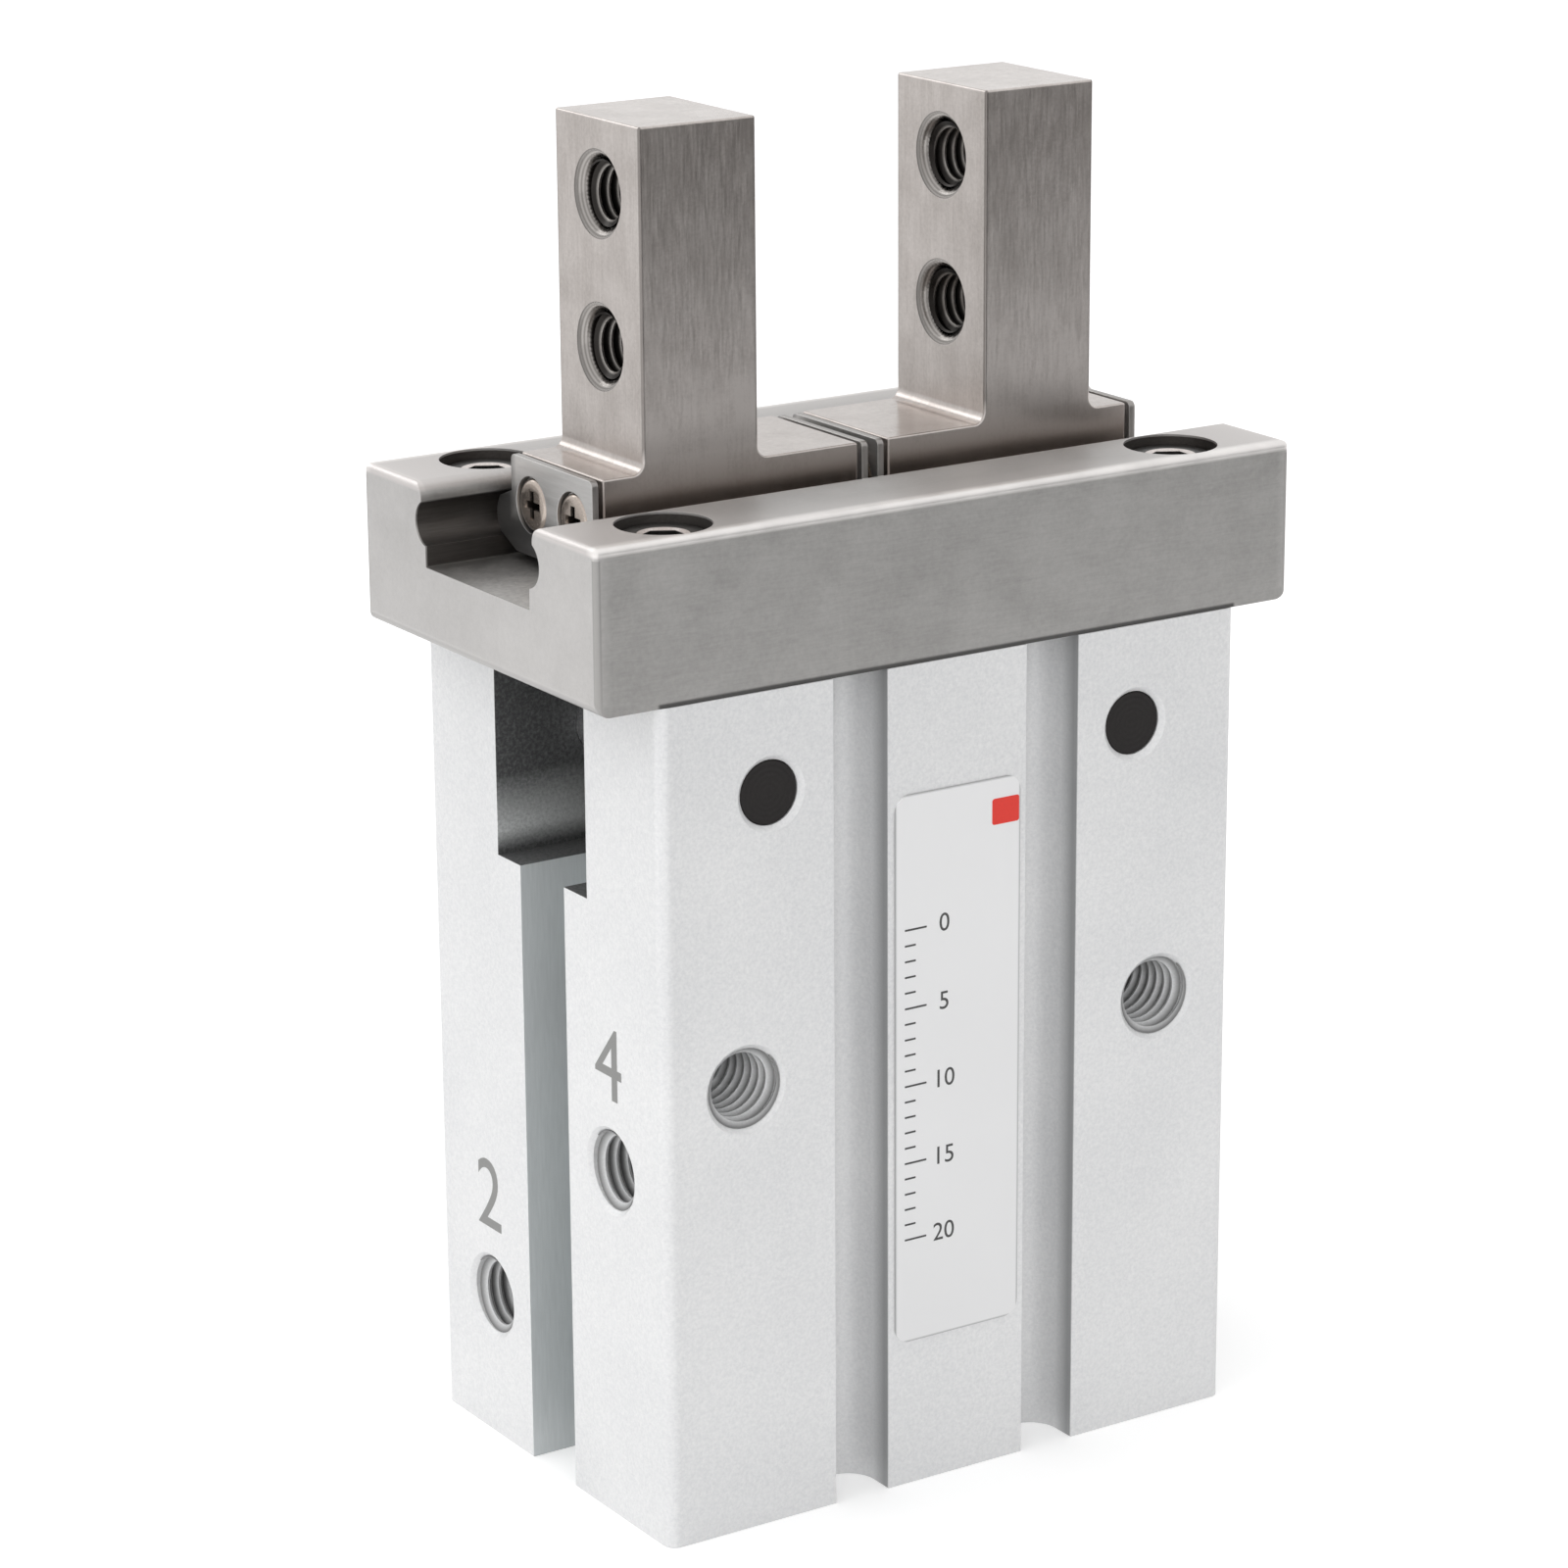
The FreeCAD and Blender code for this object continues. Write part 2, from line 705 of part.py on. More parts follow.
def upright_section():
    """Front view of a finger's upright and its deck, with hollow fillets at the foot of the upright."""
    root = finger_root_radius
    root_middle = slider_top + bend(root)
    return [
        (slider_inner, slider_shoulder),
        (slider_outer, slider_shoulder),
        (slider_outer, slider_top),
        (finger_outer + root, slider_top),
        ((finger_outer + bend(root), root_middle), (finger_outer, slider_top + root)),
        (finger_outer, finger_top),
        (finger_inner, finger_top),
        (finger_inner, slider_top + root),
        ((finger_inner - bend(root), root_middle), (finger_inner - root, slider_top)),
        (slider_inner, slider_top),
    ]


def plate_screw_places():
    """Places of a finger's end plate screws: the slider's end, and the way out of it."""
    ends = ((slider_inner, V(-1, 0, 0)), (slider_outer, ALONG_X))
    half = plate_screw_spacing / 2
    return [(V(x, y, plate_screw_height), outward) for x, outward in ends for y in (-half, half)]


def finger():
    """Right finger: an upright with two threaded holes on a slider with ball tracks and a lever slot."""
    upright = profile_along_y(upright_section(), -finger_half_depth, finger_half_depth)
    above_shoulder = slider_shoulder + finger_edge_radius
    soft_edges = [edge for edge in upright.Edges if edge.BoundBox.ZMax > above_shoulder]
    upright = upright.makeFillet(finger_edge_radius, soft_edges)
    half_slider = slider_width / 2
    slider_section = [
        (-finger_half_depth, slider_shoulder),
        (-half_slider, slider_shoulder - slider_shoulder_height),
        (-half_slider, slider_bottom),
        (half_slider, slider_bottom),
        (half_slider, slider_shoulder - slider_shoulder_height),
        (finger_half_depth, slider_shoulder),
    ]
    slider = profile_along_x(slider_section, slider_inner, slider_outer)
    solid = slider.fuse(upright).removeSplitter()
    slot_half_length = lever_tip_diameter / 2 + running_clearance
    slot_half_width = lever_thickness / 2 + lever_side_clearance
    slot_middle = lever_pivot_x - finger_stroke / 2
    slot_x = (slot_middle - slot_half_length, slot_middle + slot_half_length)
    slot_top = lever_tip_height + lever_tip_diameter / 2 + lever_slot_headroom
    cutters = [block(slot_x, (-slot_half_width, slot_half_width), (slider_bottom, slot_top))]
    for side in (-1, 1):
        track_start = V(slider_inner, side * track_offset, track_height)
        cutters.append(Part.makeCylinder(track_radius, slider_outer - slider_inner, track_start, ALONG_X))
    for row in (0, 1):
        height = finger_top - finger_hole_drop - row * finger_hole_spacing
        for mouth_x, inward in ((finger_inner, ALONG_X), (finger_outer, V(-1, 0, 0))):
            hole_size = (finger_hole_diameter, finger_thickness, finger_hole_chamfer)
            cutters.append(tapped_hole(V(mouth_x, 0, height), inward, *hole_size))
    for place, outward in plate_screw_places():
        radius = plate_screw_diameter / 2 + fixed_clearance
        cutters.append(Part.makeCylinder(radius, plate_screw_length + thread_runout, place, outward * -1))
    return solid.cut(cutters)


def end_plate(start, outward):
    """Ball stop on one end of the right slider, on a pad, with lobes that reach into the guide's tracks."""
    lobe_reach = track_offset + track_radius - plate_lobe_clearance
    lobe_middle = lobe_reach - plate_lobe_radius
    slant = plate_lobe_radius * math.sqrt(0.5)
    bottom = channel_floor + plate_foot_gap
    half_foot = plate_foot_width / 2
    half = finger_half_depth
    corner = plate_corner_radius
    steps = [
        (-half_foot, bottom),
        (half_foot, bottom),
        (lobe_middle + slant, track_height - slant),
        ((lobe_reach, track_height), (lobe_middle + slant, track_height + slant)),
        (half, slider_shoulder),
        (half, slider_top - corner),
        ((half - bend(corner), slider_top - bend(corner)), (half - corner, slider_top)),
        (corner - half, slider_top),
        ((bend(corner) - half, slider_top - bend(corner)), (-half, slider_top - corner)),
        (-half, slider_shoulder),
        (-lobe_middle - slant, track_height + slant),
        ((-lobe_reach, track_height), (-lobe_middle - slant, track_height - slant)),
    ]
    face = start + outward * plate_thickness
    rim_back = start + outward * plate_relief
    rim = profile_along_x(steps, *sorted((rim_back, face)))
    pad_half = half - plate_relief_width
    pad_z = (bottom + plate_relief_width, slider_top - plate_relief_width)
    solid = rim.fuse(block(sorted((start, rim_back)), (-pad_half, pad_half), pad_z))
    for y in (-plate_screw_spacing / 2, plate_screw_spacing / 2):
        mouth = V(face, y, plate_screw_height)
        inward = V(-outward, 0, 0)
        hole_radius = plate_screw_diameter / 2 + screw_hole_clearance
        head_radius = plate_screw_head_diameter / 2 + counterbore_clearance
        hole = Part.makeCylinder(hole_radius, plate_thickness, mouth, inward)
        solid = solid.cut(hole.fuse(Part.makeCylinder(head_radius, plate_counterbore_depth, mouth, inward)))
    return solid


def end_plate_screws():
    """The four screws of the right finger's end plates."""
    screws = []
    for place, outward in plate_screw_places():
        seat = place + outward * (plate_thickness - plate_counterbore_depth)
        head = Part.makeCylinder(plate_screw_head_diameter / 2, plate_screw_head_height, seat, outward)
        shank = Part.makeCylinder(plate_screw_diameter / 2, plate_screw_length, seat, outward * -1)
        screws.append(head.fuse(shank))
    return screws


def ball(centre):
    """Guide ball with flat facets in rings, so that the long rows stay light."""
    radius = ball_diameter / 2
    rings = ball_sides // 2
    lattice = []
    for level in range(rings + 1):
        polar = math.pi * level / rings
        row = []
        for step in range(ball_sides):
            turn = 2 * math.pi * step / ball_sides
            offset = V(math.sin(polar) * math.cos(turn), math.sin(polar) * math.sin(turn), math.cos(polar))
            row.append(centre + offset * radius)
        lattice.append(row)
    facets = []
    for upper, lower in zip(lattice, lattice[1:]):
        for step in range(ball_sides):
            beside = (step + 1) % ball_sides
            corner_points = [upper[step], upper[beside], lower[beside], lower[step]]
            if upper is lattice[0]:
                corner_points = corner_points[1:]
            if lower is lattice[-1]:
                corner_points = corner_points[:3]
            facets.append(Part.Face(Part.makePolygon(corner_points + corner_points[:1])))
    return Part.makeSolid(Part.makeShell(facets))


def guide_balls():
    """Balls of the right finger's two tracks, placed so that they can lag half the finger's travel."""
    row_middle = (slider_inner + slider_outer) / 2 + finger_stroke / 4
    first = row_middle - (balls_per_track - 1) * ball_pitch / 2
    places = [first + step * ball_pitch for step in range(balls_per_track)]
    return [ball(V(x, side * track_offset, track_height)) for side in (-1, 1) for x in places]


def pieces():
    """Every node's name with its solid, or its group of solids."""
    nodes = {
        "body": body(),
        "guide": guide(),
        "guide_screws": guide_screws(),
        "guide_dowels": guide_dowels(),
        "end_cap": end_cap(),
        "end_cap_seal": end_cap_seal(),
        "retaining_ring": retaining_ring(),
        "lower_bumper": bumper(end_cap_top),
        "upper_bumper": bumper(cylinder_top - bumper_thickness),
        "rod_bush": rod_bush(),
        "rod_seal": rod_seal(),
        "seal_retainer": seal_retainer(),
        "label": label(),
        "piston": piston(),
        "piston_seal": piston_seal(),
        "piston_magnet": piston_magnet(),
        "piston_rod": piston_rod(),
        "piston_screw": piston_screw(),
    }
    paired = {
        "lever_pin": [lever_pin()],
        "pin_plugs": pin_plugs(),
        "lever": [lever()],
        "finger": [finger()],
        "outer_end_plate": [end_plate(slider_outer, 1)],
        "inner_end_plate": [end_plate(slider_inner, -1)],
        "end_plate_screws": end_plate_screws(),
        "guide_balls": guide_balls(),
    }
    for name, solids in paired.items():
        nodes["right_" + name] = solids
        nodes["left_" + name] = [mirrored(solid) for solid in solids]
    return nodes


os.makedirs("parts", exist_ok=True)
for node_name, shape in pieces().items():
    if isinstance(shape, list):
        shape = shape[0] if len(shape) == 1 else Part.makeCompound(shape)
    shape.exportStep("parts/" + node_name + ".step")
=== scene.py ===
import json
import math

import bmesh
import bpy
from mathutils import Matrix, Vector


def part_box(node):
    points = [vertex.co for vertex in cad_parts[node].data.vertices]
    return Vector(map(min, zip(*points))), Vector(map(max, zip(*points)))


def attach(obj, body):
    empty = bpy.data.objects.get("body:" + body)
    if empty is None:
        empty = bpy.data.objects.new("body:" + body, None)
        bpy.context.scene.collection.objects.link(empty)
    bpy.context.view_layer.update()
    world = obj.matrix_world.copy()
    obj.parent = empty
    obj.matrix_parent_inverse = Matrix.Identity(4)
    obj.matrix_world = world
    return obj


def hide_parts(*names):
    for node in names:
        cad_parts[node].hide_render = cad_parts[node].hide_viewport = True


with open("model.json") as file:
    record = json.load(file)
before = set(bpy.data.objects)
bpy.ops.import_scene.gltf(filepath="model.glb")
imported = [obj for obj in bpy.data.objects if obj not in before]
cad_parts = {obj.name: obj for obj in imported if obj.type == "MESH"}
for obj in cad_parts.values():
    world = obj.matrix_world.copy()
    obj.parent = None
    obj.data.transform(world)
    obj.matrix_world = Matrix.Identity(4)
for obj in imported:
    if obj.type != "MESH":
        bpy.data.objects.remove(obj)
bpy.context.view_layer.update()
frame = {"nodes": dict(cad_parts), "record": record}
nodes = frame["nodes"]


# Body: a block cut from drawn aluminium bar, with the sensor grooves drawn in, then bored and milled.
# It is blasted and clear anodised, which gives a pale satin skin with a fine speckle.
# The lever slot is milled through afterwards, so its walls are bare; they are painted dark and mottled as
# painted shade, with a paler painted reflection band low on them.
MM = 0.001
SENSOR_GROOVE_HALF = 1.95 * MM
DEBURR = 0.08 * MM
DEBURR_STEPS = 2
FLAT_ANGLE = 0.5
WELD_REACH = 0.001 * MM
BLOTCH_SIZE = 2.6 * MM
DRIFT_SIZE = 11 * MM
STREAK_SCALE = 0.22
FLOAT = "NodeSocketFloat"
VECTOR = "NodeSocketVector"
mounts = {mount["name"]: mount for mount in frame["record"]["mounts"]}
openings = {opening["name"]: opening["box_m"] for opening in frame["record"]["physics"]["openings"]}


def add(tree, kind, inputs=(), **properties):
    """A node with its properties set, and each input given a value or joined to a socket."""
    node = tree.nodes.new(kind)
    for name, value in properties.items():
        setattr(node, name, value)
    for name, value in dict(inputs).items():
        if isinstance(value, bpy.types.NodeSocket):
            tree.links.new(value, node.inputs[name])
        else:
            node.inputs[name].default_value = value
    return node


def calc(tree, operation, *values):
    """The result of a sum on values or sockets."""
    return add(tree, "ShaderNodeMath", enumerate(values), operation=operation).outputs[0]


def vector_calc(tree, operation, *values):
    """The result of a sum on vectors or sockets."""
    return add(tree, "ShaderNodeVectorMath", enumerate(values), operation=operation).outputs[0]


def xyz(tree, vector):
    """The X, Y and Z of a vector."""
    return add(tree, "ShaderNodeSeparateXYZ", {"Vector": vector}).outputs


def place_on(tree):
    """The place on the object, in metres from its origin."""
    return add(tree, "ShaderNodeTexCoord").outputs["Object"]


def spread(tree, value, low, high, to_low, to_high):
    """A value's stretch from low to high laid out over another stretch, and held at its ends."""
    limits = {"Value": value, "From Min": low, "From Max": high, "To Min": to_low, "To Max": to_high}
    return add(tree, "ShaderNodeMapRange", limits).outputs["Result"]


def ramp(tree, value, base, start_mm, end_mm, to_start, to_end):
    """A value's stretch between two distances from a base laid out over another stretch."""
    return spread(tree, value, base + start_mm * MM, base + end_mm * MM, to_start, to_end)


def mix(tree, share, *colours):
    """A colour between two colours or sockets."""
    first, second = (end if isinstance(end, bpy.types.NodeSocket) else (*end, 1) for end in colours)
    factor, a, b = 0, 6, 7
    node = add(tree, "ShaderNodeMix", {factor: share, a: first, b: second}, data_type="RGBA")
    return node.outputs[2]


def noise(tree, where, scale, detail, roughness=0.5):
    """A cloudy value that keeps near one half."""
    clouds = {"Vector": where, "Scale": scale, "Detail": detail, "Roughness": roughness}
    return add(tree, "ShaderNodeTexNoise", clouds).outputs["Fac"]


def shader_group(name, inputs, outputs):
    """An empty node group with named sockets, then its own inputs and outputs."""
    group = bpy.data.node_groups.new(name, "ShaderNodeTree")
    for socket, kind in inputs.items():
        group.interface.new_socket(socket, in_out="INPUT", socket_type=kind)
    for socket, kind in outputs.items():
        group.interface.new_socket(socket, in_out="OUTPUT", socket_type=kind)
    return group, group.nodes.new("NodeGroupInput").outputs, group.nodes.new("NodeGroupOutput").inputs


def blasted_speckle_group():
    """Mottle of a blasted skin: a speckle of fine grains, blotches, and a slow drift of tone."""
    made_of = {"Speckle": FLOAT, "Blotch": FLOAT, "Drift": FLOAT}
    group, given, made = shader_group("blasted_speckle", {"Grain mm": FLOAT}, made_of)
    where = place_on(group)
    fineness = calc(group, "DIVIDE", 1 / MM, given["Grain mm"])
    group.links.new(noise(group, where, fineness, detail=3, roughness=0.7), made["Speckle"])
    group.links.new(noise(group, where, 1 / BLOTCH_SIZE, detail=3), made["Blotch"])
    group.links.new(noise(group, where, 1 / DRIFT_SIZE, detail=2), made["Drift"])
    return group


def brushed_grain_group():
    """Scratches of a belt or a wheel, so many to the millimetre along each axis."""
    made_of = {"Grain": FLOAT, "Streak": FLOAT}
    group, given, made = shader_group("brushed_grain", {"Lines per mm": VECTOR}, made_of)
    in_mm = vector_calc(group, "MULTIPLY", place_on(group), (1 / MM, 1 / MM, 1 / MM))
    drawn = vector_calc(group, "MULTIPLY", in_mm, given["Lines per mm"])
    group.links.new(noise(group, drawn, 1, detail=4, roughness=0.65), made["Grain"])
    group.links.new(noise(group, drawn, STREAK_SCALE, detail=2), made["Streak"])
    return group


def inside_box_group():
    """Mask of what lies inside a box in the object's own place, with a soft border."""
    sockets = {"Low": VECTOR, "High": VECTOR, "Border": FLOAT}
    group, given, made = shader_group("inside_box", sockets, {"Mask": FLOAT})
    where = place_on(group)
    past_low = vector_calc(group, "SUBTRACT", where, given["Low"])
    to_high = vector_calc(group, "SUBTRACT", given["High"], where)
    least = xyz(group, vector_calc(group, "MINIMUM", past_low, to_high))
    depth = calc(group, "MINIMUM", calc(group, "MINIMUM", least["X"], least["Y"]), least["Z"])
    share = add(group, "ShaderNodeMath", {0: depth, 1: given["Border"]}, operation="DIVIDE", use_clamp=True)
    group.links.new(share.outputs[0], made["Mask"])
    return group


blasted_speckle = blasted_speckle_group()
brushed_grain = brushed_grain_group()
inside_box = inside_box_group()


def mottled(tree, grain_mm):
    """The blasted mottle in a material, with its own grain."""
    return add(tree, "ShaderNodeGroup", {"Grain mm": grain_mm}, node_tree=blasted_speckle).outputs


def scratched(tree, lines_per_mm):
    """The scratches in a material, with their own fineness along X, Y and Z."""
    return add(tree, "ShaderNodeGroup", {"Lines per mm": lines_per_mm}, node_tree=brushed_grain).outputs


def box_mask(tree, low, high, border=0.01 * MM):
    """Mask of the surfaces between two corners."""
    box = {"Low": low, "High": high, "Border": border}
    return add(tree, "ShaderNodeGroup", box, node_tree=inside_box).outputs["Mask"]


def opening_mask(tree, first, last):
    """Mask of the walls round an opening, or round the run from one opening to another."""
    reach = 0.08 * MM
    low = [edge - reach for edge in openings[first][0]]
    high = [edge + reach for edge in openings[last][1]]
    return box_mask(tree, low, high)


def both(tree, *masks):
    """Mask of what all the masks share."""
    shared = masks[0]
    for mask in masks[1:]:
        shared = calc(tree, "MULTIPLY", shared, mask)
    return shared


def most(tree, *masks):
    """Mask of what any of the masks holds."""
    held = masks[0]
    for mask in masks[1:]:
        held = calc(tree, "MAXIMUM", held, mask)
    return held


def weighed(tree, *parts):
    """The sum of values, each times its weight."""
    total = 0
    for value, weight in parts:
        total = calc(tree, "MULTIPLY_ADD", value, weight, total)
    return total


def off_mirrored(tree, value, level):
    """How far a value lies from a level, or from the level's mirror image."""
    return calc(tree, "ABSOLUTE", calc(tree, "SUBTRACT", calc(tree, "ABSOLUTE", value), level))


def new_finish(name, plain=()):
    """A material with its node tree and its shader, whose plain values are set on their sockets."""
    material = bpy.data.materials.new(name)
    material.use_nodes = True
    shader = material.node_tree.nodes["Principled BSDF"]
    for socket, value in dict(plain).items():
        shader.inputs[socket].default_value = value
    return material, material.node_tree, shader


def join(tree, socket, shader, name):
    """Joins a socket to the shader's input of that name."""
    tree.links.new(socket, shader.inputs[name])


def bump(tree, shader, height, depth_mm):
    """Relief of a height from 0 to 1 that stands for so many millimetres."""
    relief = {"Height": height, "Distance": depth_mm * MM, "Strength": 1.0}
    join(tree, add(tree, "ShaderNodeBump", relief).outputs["Normal"], shader, "Normal")


def dress(material, *names):
    """Gives CAD nodes a finish in place of their plain one."""
    for name in names:
        nodes[name].data.materials.clear()
        nodes[name].data.materials.append(material)


def break_edges(width, *pieces, sharpest=40):
    """The small bevel that deburring leaves along edges that turn by more than an angle."""
    for piece in pieces:
        weld = piece.modifiers.new("weld", "WELD")
        weld.merge_threshold = WELD_REACH
        flat = piece.modifiers.new("flat", "DECIMATE")
        flat.decimate_type = "DISSOLVE"
        flat.angle_limit = math.radians(FLAT_ANGLE)
        bevel = piece.modifiers.new("deburr", "BEVEL")
        bevel.width = width
        bevel.segments = DEBURR_STEPS
        bevel.limit_method = "ANGLE"
        bevel.angle_limit = math.radians(sharpest)
        even = piece.modifiers.new("even", "WEIGHTED_NORMAL")
        even.keep_sharp = False


def satin_anodised():
    """Clear anodised skin, with its milled side grooves darkened partly as painted shade, painted shade on
    the sensor grooves' walls, and a lever slot painted dark as shade with a painted reflection band.
    """
    material, tree, shader = new_finish("satin_anodised", {"Metallic": 0.35})
    skin = mottled(tree, 0.22)
    tone = weighed(tree, (skin["Speckle"], 0.7), (skin["Drift"], 0.3))
    patches = spread(tree, tone, 0.32, 0.68, 0, 1)
    pale = mix(tree, patches, (0.67, 0.675, 0.685), (0.82, 0.82, 0.82))
    # Side grooves: a darker milled grey, partly their bare milled finish and partly painted shade of the
    # groove's inside.
    cut = scratched(tree, (7, 7, 0.5))
    milled = mix(tree, cut["Grain"], (0.52, 0.545, 0.55), (0.67, 0.695, 0.70))
    side_grooves = [opening_mask(tree, name, name) for name in ("left_side_groove", "right_side_groove")]
    grooved = mix(tree, most(tree, *side_grooves), pale, milled)

    place = xyz(tree, place_on(tree))
    aside = off_mirrored(tree, place["X"], abs(mounts["left_sensor_groove"]["pos_m"][0]))
    in_groove = calc(tree, "LESS_THAN", aside, SENSOR_GROOVE_HALF + 0.04 * MM)
    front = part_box("body")[0].y
    # Painted shade on the sensor grooves' walls, just inside the front face.
    sunk = ramp(tree, place["Y"], front, 0.06, 0.12, 0, 1)
    shade = ramp(tree, place["Y"], front, 0.5, 1.7, 0.75, 0)
    grooved = mix(tree, both(tree, sunk, shade, in_groove), grooved, (0.22, 0.225, 0.23))

    # Lever slot walls: painted dark and mottled as painted shade, with a paler painted reflection band just
    # above the slot's floor.
    slot_floor = openings["left_lever_window"][0][2]
    rise = ramp(tree, place["Z"], slot_floor, 0.2, 1.4, 0, 1)
    fall = ramp(tree, place["Z"], slot_floor, 1.7, 5.0, 1, 0)
    reflection_band = both(tree, rise, fall, spread(tree, tone, 0.32, 0.6, 0.6, 1))
    slot_shade_mottle = spread(tree, tone, 0.4, 0.65, 0, 1)
    wall = mix(tree, slot_shade_mottle, (0.085, 0.087, 0.088), (0.21, 0.213, 0.214))
    wall = mix(tree, reflection_band, wall, (0.74, 0.755, 0.75))
    slot = opening_mask(tree, "left_lever_window", "right_lever_window")
    join(tree, mix(tree, slot, grooved, wall), shader, "Base Color")
    join(tree, spread(tree, tone, 0.32, 0.68, 0.44, 0.56), shader, "Roughness")
    bump(tree, shader, skin["Speckle"], 0.008)
    return material


dress(satin_anodised(), "body")
break_edges(DEBURR, nodes["body"])


# Threads of the tapped holes: cut by a tap into the body and the fingers, so they are bare bright metal.
# Each is one helical ridge whose foot is the hole's wall, and which fades in at the chamfered mouth.
M4_RADIUS = 2.0 * MM
M4_PITCH = 0.7 * MM
M5_RADIUS = 2.5 * MM
M5_PITCH = 0.8 * MM
THREAD_START = 0.25 * MM
MOUNT_THREAD_END = 8.2 * MM
PORT_THREAD_END = 5.6 * MM
BASE_THREAD_END = 5.2 * MM
THREAD_STEPS = 40
RIDGE_PER_PITCH = 0.54
RIDGE_SECTION = ((0.48, 0), (0.09, 1), (-0.09, 1), (-0.48, 0))
FADE_START = 0.15
FADE_PER_TURN = 1.7
TURNED_LINES = (9, 9, 9)
NOISE_LOW = 0.3
NOISE_HIGH = 0.7
X, Y, Z = Vector((1, 0, 0)), Vector((0, 1, 0)), Vector((0, 0, 1))


def crest_layer(mesh):
    """The layer of a mesh that holds 1 on bright crests and 0 in their roots."""
    return mesh.verts.layers.float.get("crest") or mesh.verts.layers.float.new("crest")


def skin_over(mesh, rings):
    """Adds the faces between a stack of closed rings of corners, and closes both ends."""
    for first, second in zip(rings, rings[1:]):
        for corner in range(len(first)):
            beside = (corner + 1) % len(first)
            mesh.faces.new((first[corner], first[beside], second[beside], second[corner]))
    mesh.faces.new(reversed(rings[0]))
    mesh.faces.new(rings[-1])


def thread(mesh, mouth, inward, radius, pitch, start, end):
    """Adds the ridge of a right-hand thread between two depths of a hole to a mesh."""
    side = inward.orthogonal().normalized()
    across = inward.cross(side)
    crest = crest_layer(mesh)
    depth = RIDGE_PER_PITCH * pitch
    count = int((end - start) / pitch * THREAD_STEPS)
    rings = []
    for step in range(count + 1):
        turn = 2 * math.pi * step / THREAD_STEPS
        out = side * math.cos(turn) + across * math.sin(turn)
        middle = mouth + inward * (start + pitch * step / THREAD_STEPS)
        run = min(step, count - step) / THREAD_STEPS
        fade = min(1, FADE_START + FADE_PER_TURN * run)
        ring = []
        for along, height in RIDGE_SECTION:
            spot = middle + inward * along * pitch * fade + out * (radius - height * depth * fade)
            ring.append(mesh.verts.new(spot))
            ring[-1][crest] = height * fade
        rings.append(ring)
    skin_over(mesh, rings)


def mesh_data(name, mesh):
    """The finished form of a mesh under construction."""
    data = bpy.data.meshes.new(name)
    mesh.to_mesh(data)
    mesh.free()
    return data


def in_scene(name, data):
    """An object of the scene that holds the data."""
    shown = bpy.data.objects.new(name, data)
    bpy.context.scene.collection.objects.link(shown)
    return shown


def new_piece(name, mesh, material, body):
    """An object from a mesh under construction, with its material and on its body."""
    bmesh.ops.recalc_face_normals(mesh, faces=mesh.faces)
    piece = in_scene(name, mesh_data(name, mesh))
    piece.data.materials.append(material)
    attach(piece, body)
    return piece


def smooth(piece, degrees):
    """Rounds the shading over edges flatter than an angle."""
    for face in piece.data.polygons:
        face.use_smooth = True
    piece.data.set_sharp_from_angle(angle=math.radians(degrees))


def holes_of(name, along):
    """Mouths of a mount's holes, spread along one way."""
    mount = mounts[name]
    spacing = mount["dims"].get("spacing_x_mm") or mount["dims"]["spacing_y_mm"]
    return [Vector(mount["pos_m"]) + along * side * spacing * MM / 2 for side in (-1, 1)]


def set_roughness(tree, shader, cloud, smoothest, roughest):
    """Roughness that follows a noise from one level to another."""
    join(tree, spread(tree, cloud, NOISE_LOW, NOISE_HIGH, smoothest, roughest), shader, "Roughness")


def tapped_metal(name, crest_colour, root_colour, root_shade, roughness, metallic):
    """Freshly tapped metal: bright crests, with painted shade darkening the roots up to a share of their
    height.
    """
    material, tree, shader = new_finish(name, {"Metallic": metallic})
    crest = add(tree, "ShaderNodeAttribute", attribute_name="crest").outputs["Fac"]
    lines = scratched(tree, TURNED_LINES)
    uneven = spread(tree, lines["Grain"], NOISE_LOW, NOISE_HIGH, 0.7, 1)
    # Painted shade: the roots are darkened and the crests kept bright, over the given share of the ridge's
    # height.
    bright = both(tree, spread(tree, crest, root_shade, 1, 0, 1), uneven)
    join(tree, mix(tree, bright, root_colour, crest_colour), shader, "Base Color")
    set_roughness(tree, shader, lines["Streak"], roughness - 0.06, roughness + 0.06)
    return material


tapped_aluminium = tapped_metal(
    "tapped_aluminium", (0.74, 0.745, 0.75), (0.20, 0.20, 0.20), root_shade=0.15, roughness=0.36, metallic=0.4
)
body_low, body_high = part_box("body")
body_threads = bmesh.new()
for name in ("front_holes", "rear_holes"):
    inward = -Vector(mounts[name]["axis"])
    for mouth in holes_of(name, X):
        thread(body_threads, mouth, inward, M5_RADIUS, M5_PITCH, THREAD_START, MOUNT_THREAD_END)
for name in ("closing_port", "opening_port"):
    mouth = Vector(mounts[name]["pos_m"])
    mouth.x = body_low.x
    thread(body_threads, mouth, X, M5_RADIUS, M5_PITCH, THREAD_START, PORT_THREAD_END)
base = mounts["base_holes"]["dims"]
for side in (-1, 1):
    for front in (-1, 1):
        mouth = Vector((side * base["spacing_x_mm"] / 2, front * base["spacing_y_mm"] / 2, 0)) * MM
        thread(body_threads, mouth, Z, M4_RADIUS, M4_PITCH, THREAD_START, BASE_THREAD_END)
smooth(new_piece("body_threads", body_threads, tapped_aluminium, "housing"), 50)


# Port numbers: laser marked on the left side above each air port, grey on the pale skin.
# They are thin plain numerals, 4 over the closing port and 2 over the opening port.
MARK_DEPTH = 0.01 * MM
MARK_SEAM = 0.0005 * MM
DIGIT_SHARE = 0.7
PORT_NUMBER_RISE = 6.6 * MM
PORT_NUMBER_HEIGHT = 4.6 * MM


